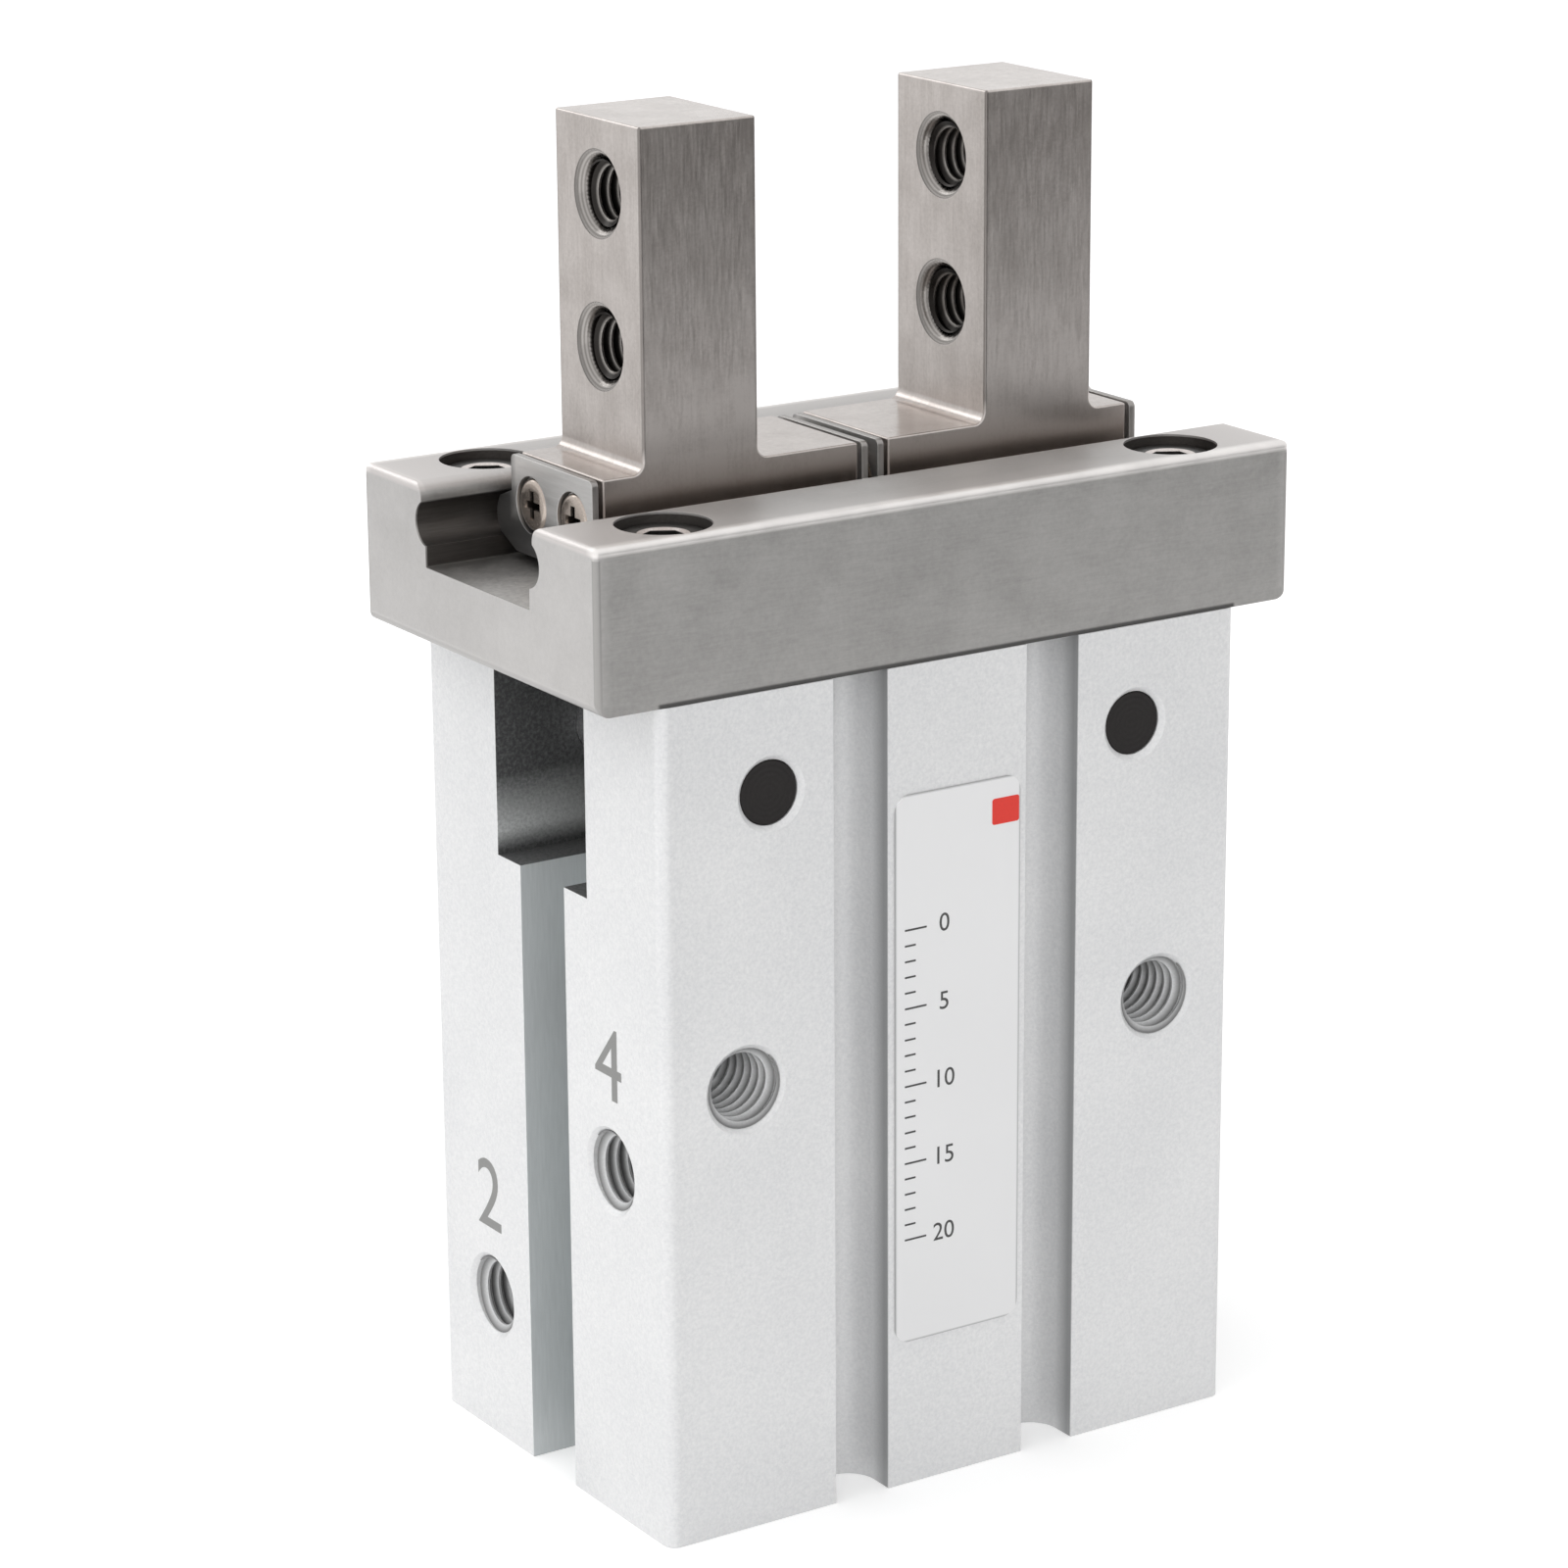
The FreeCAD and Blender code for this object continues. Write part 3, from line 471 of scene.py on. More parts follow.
def flat_text(name, words, height, origin, right, up, material, body):
    """Thin lettering centred on a point, with its reading direction and its upright."""
    curve = bpy.data.curves.new(name, "FONT")
    curve.body = words
    curve.align_x = "CENTER"
    curve.align_y = "CENTER"
    curve.size = height / DIGIT_SHARE
    curve.extrude = MARK_DEPTH
    curve.resolution_u = 6
    writer = bpy.data.objects.new(name + "_curve", curve)
    mesh = bmesh.new()
    mesh.from_mesh(bpy.data.meshes.new_from_object(writer))
    bpy.data.objects.remove(writer)
    bmesh.ops.remove_doubles(mesh, verts=mesh.verts, dist=MARK_SEAM)
    bmesh.ops.dissolve_degenerate(mesh, edges=mesh.edges, dist=MARK_SEAM)
    turn = Matrix((right, up, right.cross(up))).transposed().to_4x4()
    mesh.transform(Matrix.Translation(origin) @ turn)
    return new_piece(name, mesh, material, body)


def printed(name, colour, roughness):
    """Ink or a laser mark, slightly uneven."""
    material, tree, shader = new_finish(name)
    skin = mottled(tree, 0.09)
    paler = [min(1, 1.25 * part) for part in colour]
    join(tree, mix(tree, skin["Speckle"], colour, paler), shader, "Base Color")
    set_roughness(tree, shader, skin["Drift"], roughness - 0.05, roughness + 0.05)
    return material


laser_grey = printed("laser_grey", (0.22, 0.22, 0.215), 0.55)
for words, port in (("4", "closing_port"), ("2", "opening_port")):
    spot = Vector(mounts[port]["pos_m"]) + Z * PORT_NUMBER_RISE
    spot.x = body_low.x
    name = "port_number_" + words
    flat_text(name, words, PORT_NUMBER_HEIGHT, spot, -Y, Z, laser_grey, "housing")


# Cylinder fittings: a turned aluminium cap on a rubber ring, held by a phosphated spring ring in its groove.
# Above the piston are the urethane bumpers, the rod's rubber seal, its steel washer and a bronze bush.
TURNED_DEBURR = 0.1 * MM


def cut_metal(name, colour, roughness):
    """Bare metal as a lathe or a grinder leaves it, with fine turned lines."""
    material, tree, shader = new_finish(name, {"Metallic": 0.9})
    lines = scratched(tree, TURNED_LINES)
    darker = [0.62 * part for part in colour]
    join(tree, mix(tree, lines["Grain"], darker, colour), shader, "Base Color")
    set_roughness(tree, shader, lines["Streak"], roughness - 0.06, roughness + 0.06)
    return material


def rubber(name, colour, roughness):
    """Moulded elastomer with a faint matte bloom."""
    material, tree, shader = new_finish(name)
    bloom = mottled(tree, 0.12)
    paler = [part * 1.8 + 0.004 for part in colour]
    join(tree, mix(tree, bloom["Speckle"], colour, paler), shader, "Base Color")
    set_roughness(tree, shader, bloom["Drift"], roughness - 0.08, roughness + 0.08)
    bump(tree, shader, bloom["Speckle"], 0.004)
    return material


dress(cut_metal("turned_aluminium", (0.74, 0.74, 0.75), 0.32), "end_cap", "piston")
dress(rubber("seal_rubber", (0.02, 0.02, 0.021), 0.6), "end_cap_seal", "rod_seal", "piston_seal")
dress(rubber("bumper_urethane", (0.36, 0.29, 0.12), 0.5), "lower_bumper", "upper_bumper")
dress(cut_metal("phosphated_steel", (0.10, 0.10, 0.105), 0.5), "retaining_ring", "seal_retainer")
dress(cut_metal("bearing_bronze", (0.62, 0.42, 0.20), 0.34), "rod_bush")
break_edges(TURNED_DEBURR, nodes["end_cap"], nodes["retaining_ring"])


# Piston unit: a turned piston with a bonded magnet ring for the sensors, screwed to a hard chromed rod.
# It slides in the bore, and the rod's groove carries the toes of both levers.
# The pins of the levers and the guide's dowels are ground as bright as the rod.
chromed_steel = cut_metal("chromed_steel", (0.78, 0.78, 0.79), 0.14)
dress(chromed_steel, "piston_rod", "left_lever_pin", "right_lever_pin", "guide_dowels")
dress(rubber("bonded_magnet", (0.05, 0.05, 0.05), 0.55), "piston_magnet")
dress(cut_metal("dark_screw_steel", (0.26, 0.25, 0.24), 0.32), "piston_screw")


# Levers: hardened steel bell cranks, oily and dark, each on a ground pin through the body.
# Black rubber plugs close both ends of the pins' holes and sit just inside the chamfers.
LEVER_DEBURR = 0.12 * MM
PLUG_WAVES = 70


def distance(tree, first, second):
    """How far apart two places are."""
    return add(tree, "ShaderNodeVectorMath", {0: first, 1: second}, operation="DISTANCE").outputs["Value"]


def waves(tree, value, radians):
    """Waves from 0 to 1 along a value, with so many radians to its unit."""
    return spread(tree, calc(tree, "SINE", calc(tree, "MULTIPLY", value, radians)), -1, 1, 0, 1)


def plug_rubber():
    """Moulded plug with a few faint rings round its middle."""
    material, tree, shader = new_finish("plug_rubber", {"Specular IOR Level": 0.25})
    share = add(tree, "ShaderNodeTexCoord").outputs["Generated"]
    far = distance(tree, vector_calc(tree, "MULTIPLY", share, (1, 0, 1)), (0.5, 0, 0.5))
    bloom = mottled(tree, 0.15)
    tone = calc(tree, "MULTIPLY", bloom["Speckle"], 0.7)
    black = mix(tree, tone, (0.010, 0.009, 0.009), (0.026, 0.022, 0.021))
    join(tree, black, shader, "Base Color")
    set_roughness(tree, shader, bloom["Drift"], 0.5, 0.65)
    bump(tree, shader, waves(tree, far, PLUG_WAVES), 0.008)
    return material


dress(plug_rubber(), "left_pin_plugs", "right_pin_plugs")
dress(cut_metal("hardened_lever_steel", (0.20, 0.195, 0.19), 0.36), "left_lever", "right_lever")
for name in ("left_lever", "right_lever", "left_pin_plugs", "right_pin_plugs"):
    break_edges(LEVER_DEBURR, nodes[name])


# Guide: a hardened steel rail, ground all over, with the ball tracks and the channel ground last.
# It is held to the body by four blackened cap screws sunk in counterbores.
FOOT_RADIUS = 0.9 * MM
END_RADIUS = 0.35 * MM
EDGE_FILL = 0.85 * MM
SHY = 0.002 * MM
CAP_RADIUS = 2.75 * MM
CAP_HEIGHT = 3.0 * MM
CAP_ROUNDING = 0.3 * MM
SHANK_RADIUS = 1.5 * MM
SHANK_CHAMFER = 0.3 * MM
SOCKET_FLATS = 2.5 * MM
SOCKET_DEPTH = 1.4 * MM
SOCKET_MOUTH = 1.6 * MM
SOCKET_POINT = 0.3 * MM
SOCKET_RIM_LOOPS = (8, 9)
screws_low, screws_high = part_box("guide_screws")
screw_x = screws_high.x - CAP_RADIUS
screw_y = screws_high.y - CAP_RADIUS


def from_axis(tree, axis, across):
    """Distance from an axis through a point, or from its mirror images, measured across the given ways."""
    folded = vector_calc(tree, "ABSOLUTE", place_on(tree))
    return distance(tree, vector_calc(tree, "MULTIPLY", folded, across), axis)


def ground_steel():
    """Ground and tumbled rail, with painted highlights on its top, ends painted lighter, painted shade on its
    upright edges, foot and joint line, and painted shade on the channel walls, the counterbores and the
    channel floor.
    """
    material, tree, shader = new_finish("ground_guide_steel", {"Metallic": 0.85})
    mottle = mottled(tree, 0.3)
    lines = scratched(tree, (0.6, 8, 8))
    tone = weighed(
        tree,
        (mottle["Speckle"], 0.3),
        (lines["Grain"], 0.25),
        (mottle["Blotch"], 0.25),
        (mottle["Drift"], 0.2),
    )
    tone = spread(tree, tone, 0.35, 0.65, 0, 1)
    low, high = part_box("guide")
    channel_low, channel_high = openings["left_channel_end"]
    floor = channel_low[2]
    half = channel_high[1]
    place = xyz(tree, place_on(tree))
    out_x = calc(tree, "ABSOLUTE", place["X"])
    out_y = calc(tree, "ABSOLUTE", place["Y"])

    # Painted light: the ends and their roundings are painted lighter than the sides, as if lit from the left.
    sides = mix(tree, tone, (0.335, 0.328, 0.318), (0.465, 0.455, 0.444))
    ends = mix(tree, tone, (0.50, 0.487, 0.477), (0.615, 0.601, 0.59))
    at_end = ramp(tree, out_x, high.x, -0.07, -0.03, 0, 0.5)
    at_end = calc(tree, "ADD", at_end, ramp(tree, out_x, high.x, -1.0, -0.3, 0, 0.5))
    colour = mix(tree, at_end, sides, ends)

    # Painted highlight, speckled, on the top near the long edges, near the ends and along the lips.
    top = ramp(tree, place["Z"], high.z, -0.6, -0.4, 0, 1)
    long_edge = ramp(tree, out_y, high.y, -4.5, -0.8, 0, 0.4)
    end_edge = ramp(tree, out_x, high.x, -0.8, -0.35, 0, 0.9)
    near_end = ramp(tree, out_x, high.x, -13, -1, 0.15, 0.65)
    lip_speckle = spread(tree, mottle["Speckle"], 0.4, 0.6, 0.1, 0.55)
    lip = both(tree, lip_speckle, ramp(tree, out_y, half, 1.1, 1.7, 1, 0))
    painted_highlight = both(tree, top, most(tree, long_edge, end_edge, near_end, lip))
    colour = mix(tree, painted_highlight, colour, (0.70, 0.665, 0.65))
    # Painted highlight on the top's rounded long edges.
    rounding_highlight = ramp(tree, out_y, high.y, -1.0, -0.36, 0, 0.85)
    rounding_highlight = both(tree, rounding_highlight, spread(tree, mottle["Blotch"], 0.3, 0.6, 0.7, 1))
    colour = mix(tree, both(tree, top, rounding_highlight), colour, (0.90, 0.875, 0.855))
    # Painted shade on the upright corner edges below the top, and along the rounded foot near the ends.
    at_side = ramp(tree, out_y, high.y, -0.4, -0.3, 0, 1)
    upright = both(tree, at_side, ramp(tree, out_x, high.x, -0.4, -0.3, 0, 0.8))
    upright = both(tree, upright, calc(tree, "LESS_THAN", place["Z"], high.z - 0.7 * MM))
    foot = ramp(tree, place["Z"], low.z, 0.85, 0.6, 0, 0.4)
    foot = both(tree, foot, ramp(tree, out_x, high.x, -0.9, -0.7, 0, 1))
    colour = mix(tree, most(tree, upright, foot), colour, (0.33, 0.322, 0.313))

    # Painted shadow along the foot of the sides, where the rail sits on the body.
    joint_shadow = ramp(tree, place["Z"], low.z, 0.34, 0.2, 0, 0.85)
    on_body = ramp(tree, out_x, body_high.x, -0.2, 0, 1, 0)
    colour = mix(tree, both(tree, joint_shadow, at_side, on_body), colour, (0.05, 0.049, 0.048))

    # Painted shade: the channel walls and the screw counterbores are painted near black, and the channel
    # floor darkens in blotches toward the +Y wall.
    oil_and_shade = mix(tree, lines["Grain"], (0.065, 0.059, 0.053), (0.14, 0.128, 0.121))
    bed = mix(tree, mottle["Speckle"], (0.40, 0.388, 0.376), (0.86, 0.84, 0.815))
    far_wall_shade = spread(tree, mottle["Blotch"], 0.35, 0.6, 0.6, 1)
    far_wall_shade = both(tree, far_wall_shade, ramp(tree, place["Y"], 0, -1, 5.5, 0, 0.75))
    bed = mix(tree, far_wall_shade, bed, oil_and_shade)
    end = high.x - 0.1 * MM
    wall = half + 1.4 * MM
    on_bed = box_mask(tree, (-end, -wall, floor - 0.2 * MM), (end, wall, floor + 0.05 * MM), 0.02 * MM)
    on_walls = box_mask(tree, (-end, -wall, floor), (end, wall, high.z - 1.2 * MM), 0.05 * MM)
    from_screw = from_axis(tree, (screw_x, screw_y, 0), (1, 1, 0))
    in_screw_hole = both(
        tree,
        calc(tree, "LESS_THAN", from_screw, CAP_RADIUS + 0.2 * MM),
        ramp(tree, place["Z"], high.z, -0.12, -0.16, 0, 1),
    )
    colour = mix(tree, on_bed, colour, bed)
    join(tree, mix(tree, most(tree, on_walls, in_screw_hole), colour, oil_and_shade), shader, "Base Color")
    join(tree, spread(tree, tone, 0, 1, 0.38, 0.5), shader, "Roughness")
    bump(tree, shader, mottle["Speckle"], 0.004)
    return material


def turned_loops(mesh, loops, painted_highlight=()):
    """Adds a closed skin over a stack of loops of points, and marks the loops given for a painted highlight
    as crests.
    """
    crest = crest_layer(mesh)
    rings = [[mesh.verts.new(point) for point in loop] for loop in loops]
    for index in painted_highlight:
        for vertex in rings[index]:
            vertex[crest] = 1
    skin_over(mesh, rings)


def round_loop(centre, radius, height, points=48):
    """A round loop of points at a height over a centre."""
    turns = [2 * math.pi * step / points for step in range(points)]
    return [centre + Vector((radius * math.cos(t), radius * math.sin(t), height)) for t in turns]


def hexagon_loop(centre, flats, height, points=48):
    """A hexagonal loop of points at a height over a centre, so wide across its flats."""
    loop = []
    for step in range(points):
        turn = 2 * math.pi * step / points
        swing = (turn + math.pi / 6) % (math.pi / 3) - math.pi / 6
        reach = flats / 2 / math.cos(swing)
        loop.append(centre + Vector((reach * math.cos(turn), reach * math.sin(turn), height)))
    return loop


def quarter_turn(steps):
    """The angles of a quarter turn in even steps."""
    return [math.radians(90 * step / steps) for step in range(steps + 1)]


def bar(mesh, section, start_y, end_y):
    """Adds a bar or a plate along Y with a section of points in X and Z."""
    turned_loops(mesh, [[Vector((x, y, z)) for x, z in section] for y in (start_y, end_y)])


def stock_of(name):
    """A CAD node's mesh to work on, with its corners joined."""
    mesh = bmesh.new()
    mesh.from_mesh(nodes[name].data)
    bmesh.ops.remove_doubles(mesh, verts=mesh.verts, dist=WELD_REACH)
    return mesh


def worked(stock, *steps):
    """A mesh after tools are taken out of it or added to it, each step a Boolean operation and its tool."""
    helpers = []
    for mesh in (stock, *(tool for operation, tool in steps)):
        bmesh.ops.recalc_face_normals(mesh, faces=mesh.faces)
        helpers.append(in_scene("stock", mesh_data("stock", mesh)))
    blank, *tools = helpers
    for (operation, _), tool in zip(steps, tools):
        step = blank.modifiers.new(operation, "BOOLEAN")
        step.operation = operation
        step.object = tool
        step.solver = "EXACT"
        step.use_self = True
    bpy.context.view_layer.update()
    data = bpy.data.meshes.new_from_object(blank.evaluated_get(bpy.context.evaluated_depsgraph_get()))
    for helper in helpers:
        bpy.data.objects.remove(helper)
    result = bmesh.new()
    result.from_mesh(data)
    return result


guide_low, guide_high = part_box("guide")
foot_edges = bmesh.new()
foot_corners = bmesh.new()
for side in (-1, 1):
    plan = []
    for end in (-1, 1):
        for turn in quarter_turn(6)[::end]:
            x = guide_high.x - END_RADIUS * (1 - math.sin(turn))
            y = guide_high.y - END_RADIUS * (1 - math.cos(turn)) - SHY
            plan.append((end * x, side * y))
    plan += [(end * guide_high.x, side * (guide_high.y - EDGE_FILL)) for end in (1, -1)]
    levels = (guide_low.z + SHY, guide_low.z + EDGE_FILL)
    turned_loops(foot_edges, [[Vector((x, y, z)) for x, y in plan] for z in levels])
    reach = side * guide_high.x
    section = [(reach + side * MM, guide_low.z - MM)]
    for turn in quarter_turn(12):
        x = reach - side * (FOOT_RADIUS * (1 - math.cos(turn)) - SHY)
        section.append((x, guide_low.z + FOOT_RADIUS * (1 - math.sin(turn)) - SHY))
    bar(foot_corners, section, guide_low.y - MM, guide_high.y + MM)
rail = worked(stock_of("guide"), ("UNION", foot_edges), ("DIFFERENCE", foot_corners))
guide_rail = new_piece("guide_rail", rail, ground_steel(), "housing")
smooth(guide_rail, 30)
break_edges(DEBURR, guide_rail)
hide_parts("guide")

guide_screws = bmesh.new()
top = screws_high.z
seat = top - CAP_HEIGHT
for side in (-1, 1):
    for front in (-1, 1):
        axis = Vector((side * screw_x, front * screw_y, 0))
        # The socket rim's loops are marked as crests, which the screw material paints bright: a painted
        # highlight.
        turned_loops(guide_screws, [
            round_loop(axis, SHANK_RADIUS - SHANK_CHAMFER, screws_low.z),
            round_loop(axis, SHANK_RADIUS, screws_low.z + SHANK_CHAMFER),
            round_loop(axis, SHANK_RADIUS, seat),
            round_loop(axis, CAP_RADIUS, seat),
            round_loop(axis, CAP_RADIUS, top - CAP_ROUNDING),
            round_loop(axis, CAP_RADIUS - 0.3 * CAP_ROUNDING, top - 0.3 * CAP_ROUNDING),
            round_loop(axis, CAP_RADIUS - CAP_ROUNDING, top),
            round_loop(axis, SOCKET_MOUTH, top),
            round_loop(axis, SOCKET_MOUTH - 0.05 * MM, top - 0.02 * MM),
            hexagon_loop(axis, SOCKET_FLATS, top - 0.13 * MM),
            hexagon_loop(axis, SOCKET_FLATS, top - 0.2 * MM),
            hexagon_loop(axis, SOCKET_FLATS, top - SOCKET_DEPTH),
            round_loop(axis, SOCKET_POINT, top - SOCKET_DEPTH - SOCKET_POINT),
        ], painted_highlight=SOCKET_RIM_LOOPS)
# The bright crest colour is a painted highlight on the socket rim; the rest of each head is black.
blackened = tapped_metal(
    "blackened_screw_steel", (0.80, 0.74, 0.71), (0.06, 0.058, 0.056),
    root_shade=0.15, roughness=0.36, metallic=0.9,
)
cap_screws = new_piece("guide_cap_screws", guide_screws, blackened, "housing")
smooth(cap_screws, 35)
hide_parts("guide_screws")


# Fingers: hardened stainless uprights on sliders, ground so that the grain runs up the finger.
# Each runs on two rows of polished balls and has two tapped holes for a jaw.
# Pressed end plates, each held by two cross-recessed screws, keep the balls in their rows.
FINGER_HALF_DEPTH = 4.75 * MM
MOUTH_RADIUS = 2.68 * MM
MOUTH_RING = 0.16 * MM
FINGER_THREAD_START = 0.5 * MM
BALLS_IN_ROW = 4
PAN_RADIUS = 1.6 * MM
PAN_HEIGHT = 0.4 * MM
PAN_SHANK_RADIUS = 0.8 * MM
PAN_SHANK_LENGTH = 3.6 * MM
RECESS_FOOT = Vector((0.45, 0.14, -0.9)) * MM
RECESS_MOUTH = Vector((0.95, 0.26, 0.6)) * MM


def facing_of(tree):
    """The way that a surface faces, as its X, Y and Z."""
    return xyz(tree, add(tree, "ShaderNodeNewGeometry").outputs["True Normal"])


def brushed_finger():
    """Ground stainless, warm grey and blotchy, with painted shade along its upright edges, high on its fronts
    and in its holes, and darker and browner at the foot.
    """
    material, tree, shader = new_finish("brushed_finger_steel", {"Metallic": 1.0, "Anisotropic": 0.6})
    upright = scratched(tree, (7, 7, 0.6))
    along = scratched(tree, (0.6, 7, 7))
    mottle = mottled(tree, 0.25)
    facing = facing_of(tree)
    level = spread(tree, calc(tree, "ABSOLUTE", facing["Z"]), 0.5, 0.8, 0, 1)
    broad = spread(tree, calc(tree, "ABSOLUTE", facing["Y"]), 0.5, 0.8, 0, 1)
    grain = add(tree, "ShaderNodeMix", {0: level, 2: upright["Grain"], 3: along["Grain"]}).outputs[0]
    place = xyz(tree, place_on(tree))
    rail_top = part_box("guide")[1].z
    # Painted light and shade on the fronts: lighter low on the finger and darker high.
    front_shade_gradient = ramp(tree, place["Z"], rail_top, 4, 21, 0.12, -0.09)
    tone = weighed(
        tree,
        (mottle["Speckle"], 0.3),
        (grain, 0.25),
        (upright["Streak"], 0.15),
        (mottle["Blotch"], 0.3),
        (front_shade_gradient, broad),
    )
    tone = spread(tree, tone, 0.36, 0.64, 0, 1)
    steel = mix(tree, tone, (0.485, 0.444, 0.418), (0.70, 0.654, 0.626))

    # Painted shade along the upright's vertical corner edges above the guide.
    outer_face = mounts["right_finger_holes"]["pos_m"][0]
    inner_face = mounts["right_finger_face"]["pos_m"][0]
    half = (outer_face - inner_face) / 2
    aside = off_mirrored(tree, place["X"], (outer_face + inner_face) / 2)
    aside = ramp(tree, aside, half, -0.2, -0.1, 0, 1)
    deep = calc(tree, "ABSOLUTE", place["Y"])
    deep = ramp(tree, deep, FINGER_HALF_DEPTH, -0.2, -0.1, 0, 1)
    upper = ramp(tree, place["Z"], rail_top, 2.2, 3.0, 0, 0.8)
    steel = mix(tree, both(tree, aside, deep, upper), steel, (0.17, 0.155, 0.147))

    mouths = [from_axis(tree, (0, 0, mouth.z), (0, 1, 1)) for mouth in holes_of("right_finger_holes", Z)]
    nearest = calc(tree, "MINIMUM", *mouths)
    turned = waves(tree, nearest, 2 * math.pi / MOUTH_RING)
    turned = mix(tree, turned, (0.24, 0.225, 0.213), (0.40, 0.378, 0.36))
    in_mouth = calc(tree, "LESS_THAN", nearest, MOUTH_RADIUS - 0.01 * MM)
    steel = mix(tree, in_mouth, steel, turned)
    # Painted shade inside the tapped holes, near black.
    hole_shade = ramp(tree, nearest, M4_RADIUS, 0.14, 0.02, 0, 1)
    steel = mix(tree, hole_shade, steel, (0.035, 0.03, 0.027))

    # Darker and browner at the foot above the guide's lip: a brown film, darkened further as painted shade.
    film = ramp(tree, place["Z"], rail_top, -0.1, 2.3, 0.8, 0)
    join(tree, mix(tree, film, steel, (0.19, 0.15, 0.128)), shader, "Base Color")
    satin = spread(tree, grain, NOISE_LOW, NOISE_HIGH, 0.30, 0.38)
    join(tree, calc(tree, "MULTIPLY_ADD", level, -0.12, satin), shader, "Roughness")
    around = add(tree, "ShaderNodeTangent", direction_type="RADIAL", axis="Z").outputs["Tangent"]
    grain_way = add(tree, "ShaderNodeMix", {0: level, 4: around, 5: (0, 1, 0)}, data_type="VECTOR").outputs[1]
    join(tree, grain_way, shader, "Tangent")
    bump(tree, shader, grain, 0.0015)
    return material


def polished_balls():
    """Bearing balls: mirror steel with a trace of oil."""
    material, tree, shader = new_finish("polished_ball_steel", {"Metallic": 1.0})
    oil_and_shade = mottled(tree, 0.8)
    tint = mix(tree, oil_and_shade["Drift"], (0.70, 0.69, 0.67), (0.80, 0.80, 0.80))
    join(tree, tint, shader, "Base Color")
    set_roughness(tree, shader, oil_and_shade["Speckle"], 0.06, 0.14)
    return material


def sheet_steel():
    """Pressed stainless sheet with a rolled, satin face, darker edge faces, and painted shade on its +Y lobe
    and its lower part inside the channel.
    """
    material, tree, shader = new_finish("rolled_plate_steel", {"Metallic": 0.9})
    rolled = scratched(tree, (7, 0.6, 7))
    tint = mix(tree, rolled["Grain"], (0.51, 0.50, 0.49), (0.69, 0.68, 0.668))
    place = xyz(tree, place_on(tree))
    rail_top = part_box("guide")[1].z
    # Painted shade on the +Y lobe and on the lower part of each plate, inside the channel.
    aside = ramp(tree, place["Y"], 0, 4.1, 5.0, 0, 0.85)
    below = ramp(tree, place["Z"], rail_top, -1.6, -2.6, 0, 0.85)
    cut_edge = spread(tree, calc(tree, "ABSOLUTE", facing_of(tree)["X"]), 0.7, 0.4, 0, 0.75)
    tint = mix(tree, cut_edge, tint, (0.27, 0.252, 0.238))
    tint = mix(tree, most(tree, aside, below), tint, (0.10, 0.10, 0.102))
    join(tree, tint, shader, "Base Color")
    set_roughness(tree, shader, rolled["Streak"], 0.3, 0.42)
    return material


def plate_screw_steel():
    """Plated screws, bright on their heads, with painted shade in the recesses and under the heads."""
    material, tree, shader = new_finish("plate_screw_steel", {"Metallic": 0.9})
    lines = scratched(tree, TURNED_LINES)
    bright = mix(tree, lines["Grain"], (0.36, 0.31, 0.27), (0.64, 0.56, 0.50))
    heads_low, heads_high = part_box("right_end_plate_screws")
    out_x = calc(tree, "ABSOLUTE", xyz(tree, place_on(tree))["X"])
    # Painted shade in the recesses and under the heads, between the head's outer and inner faces.
    past_inner = ramp(tree, out_x, heads_low.x, 0.1, 0.2, 0, 1)
    short_of_outer = ramp(tree, out_x, heads_high.x, -0.2, -0.1, 1, 0)
    oil_and_shade = both(tree, past_inner, short_of_outer)
    join(tree, mix(tree, oil_and_shade, bright, (0.045, 0.038, 0.034)), shader, "Base Color")
    set_roughness(tree, shader, lines["Streak"], 0.16, 0.28)
    return material


def stand(seat, outward):
    """The turn and shift that stand an upright form on a seat."""
    return Matrix.Translation(seat) @ outward.to_track_quat("Z", "Y").to_matrix().to_4x4()


def cross_screw_heads(mesh, seats):
    """Adds small pan heads with a cross recess, each at a seat and facing outward."""
    head = bmesh.new()
    turned_loops(head, [
        round_loop(Vector(), PAN_SHANK_RADIUS, -PAN_SHANK_LENGTH),
        round_loop(Vector(), PAN_SHANK_RADIUS, 0),
        round_loop(Vector(), PAN_RADIUS, 0),
        round_loop(Vector(), PAN_RADIUS, 0.22 * MM),
        round_loop(Vector(), PAN_RADIUS - 0.1 * MM, 0.33 * MM),
        round_loop(Vector(), PAN_RADIUS - 0.3 * MM, PAN_HEIGHT),
    ])
    recess = bmesh.new()
    for turn in (0, math.pi / 2):
        spin = Matrix.Rotation(turn, 3, "Z")
        corners = [Vector((x, y, 1)) for x, y in ((1, 1), (-1, 1), (-1, -1), (1, -1))]
        halves = (RECESS_FOOT, RECESS_MOUTH)
        turned_loops(recess, [[spin @ (corner * half) for corner in corners] for half in halves])
    finished = mesh_data("cross_screw", worked(head, ("DIFFERENCE", recess)))
    for seat, outward in seats:
        copy = finished.copy()
        copy.transform(stand(seat, outward))
        mesh.from_mesh(copy)


def countersink(mesh, mouth, inward):
    """Adds the cone that a countersink cuts at the mouth of a tapped hole."""
    cone = bmesh.new()
    past = 0.1 * MM
    turned_loops(cone, [
        round_loop(Vector(), MOUTH_RADIUS + past, -past),
        round_loop(Vector(), M4_RADIUS - past, MOUTH_RADIUS - M4_RADIUS + past),
    ])
    cone.transform(stand(mouth, inward))
    mesh.from_mesh(mesh_data("countersink", cone))


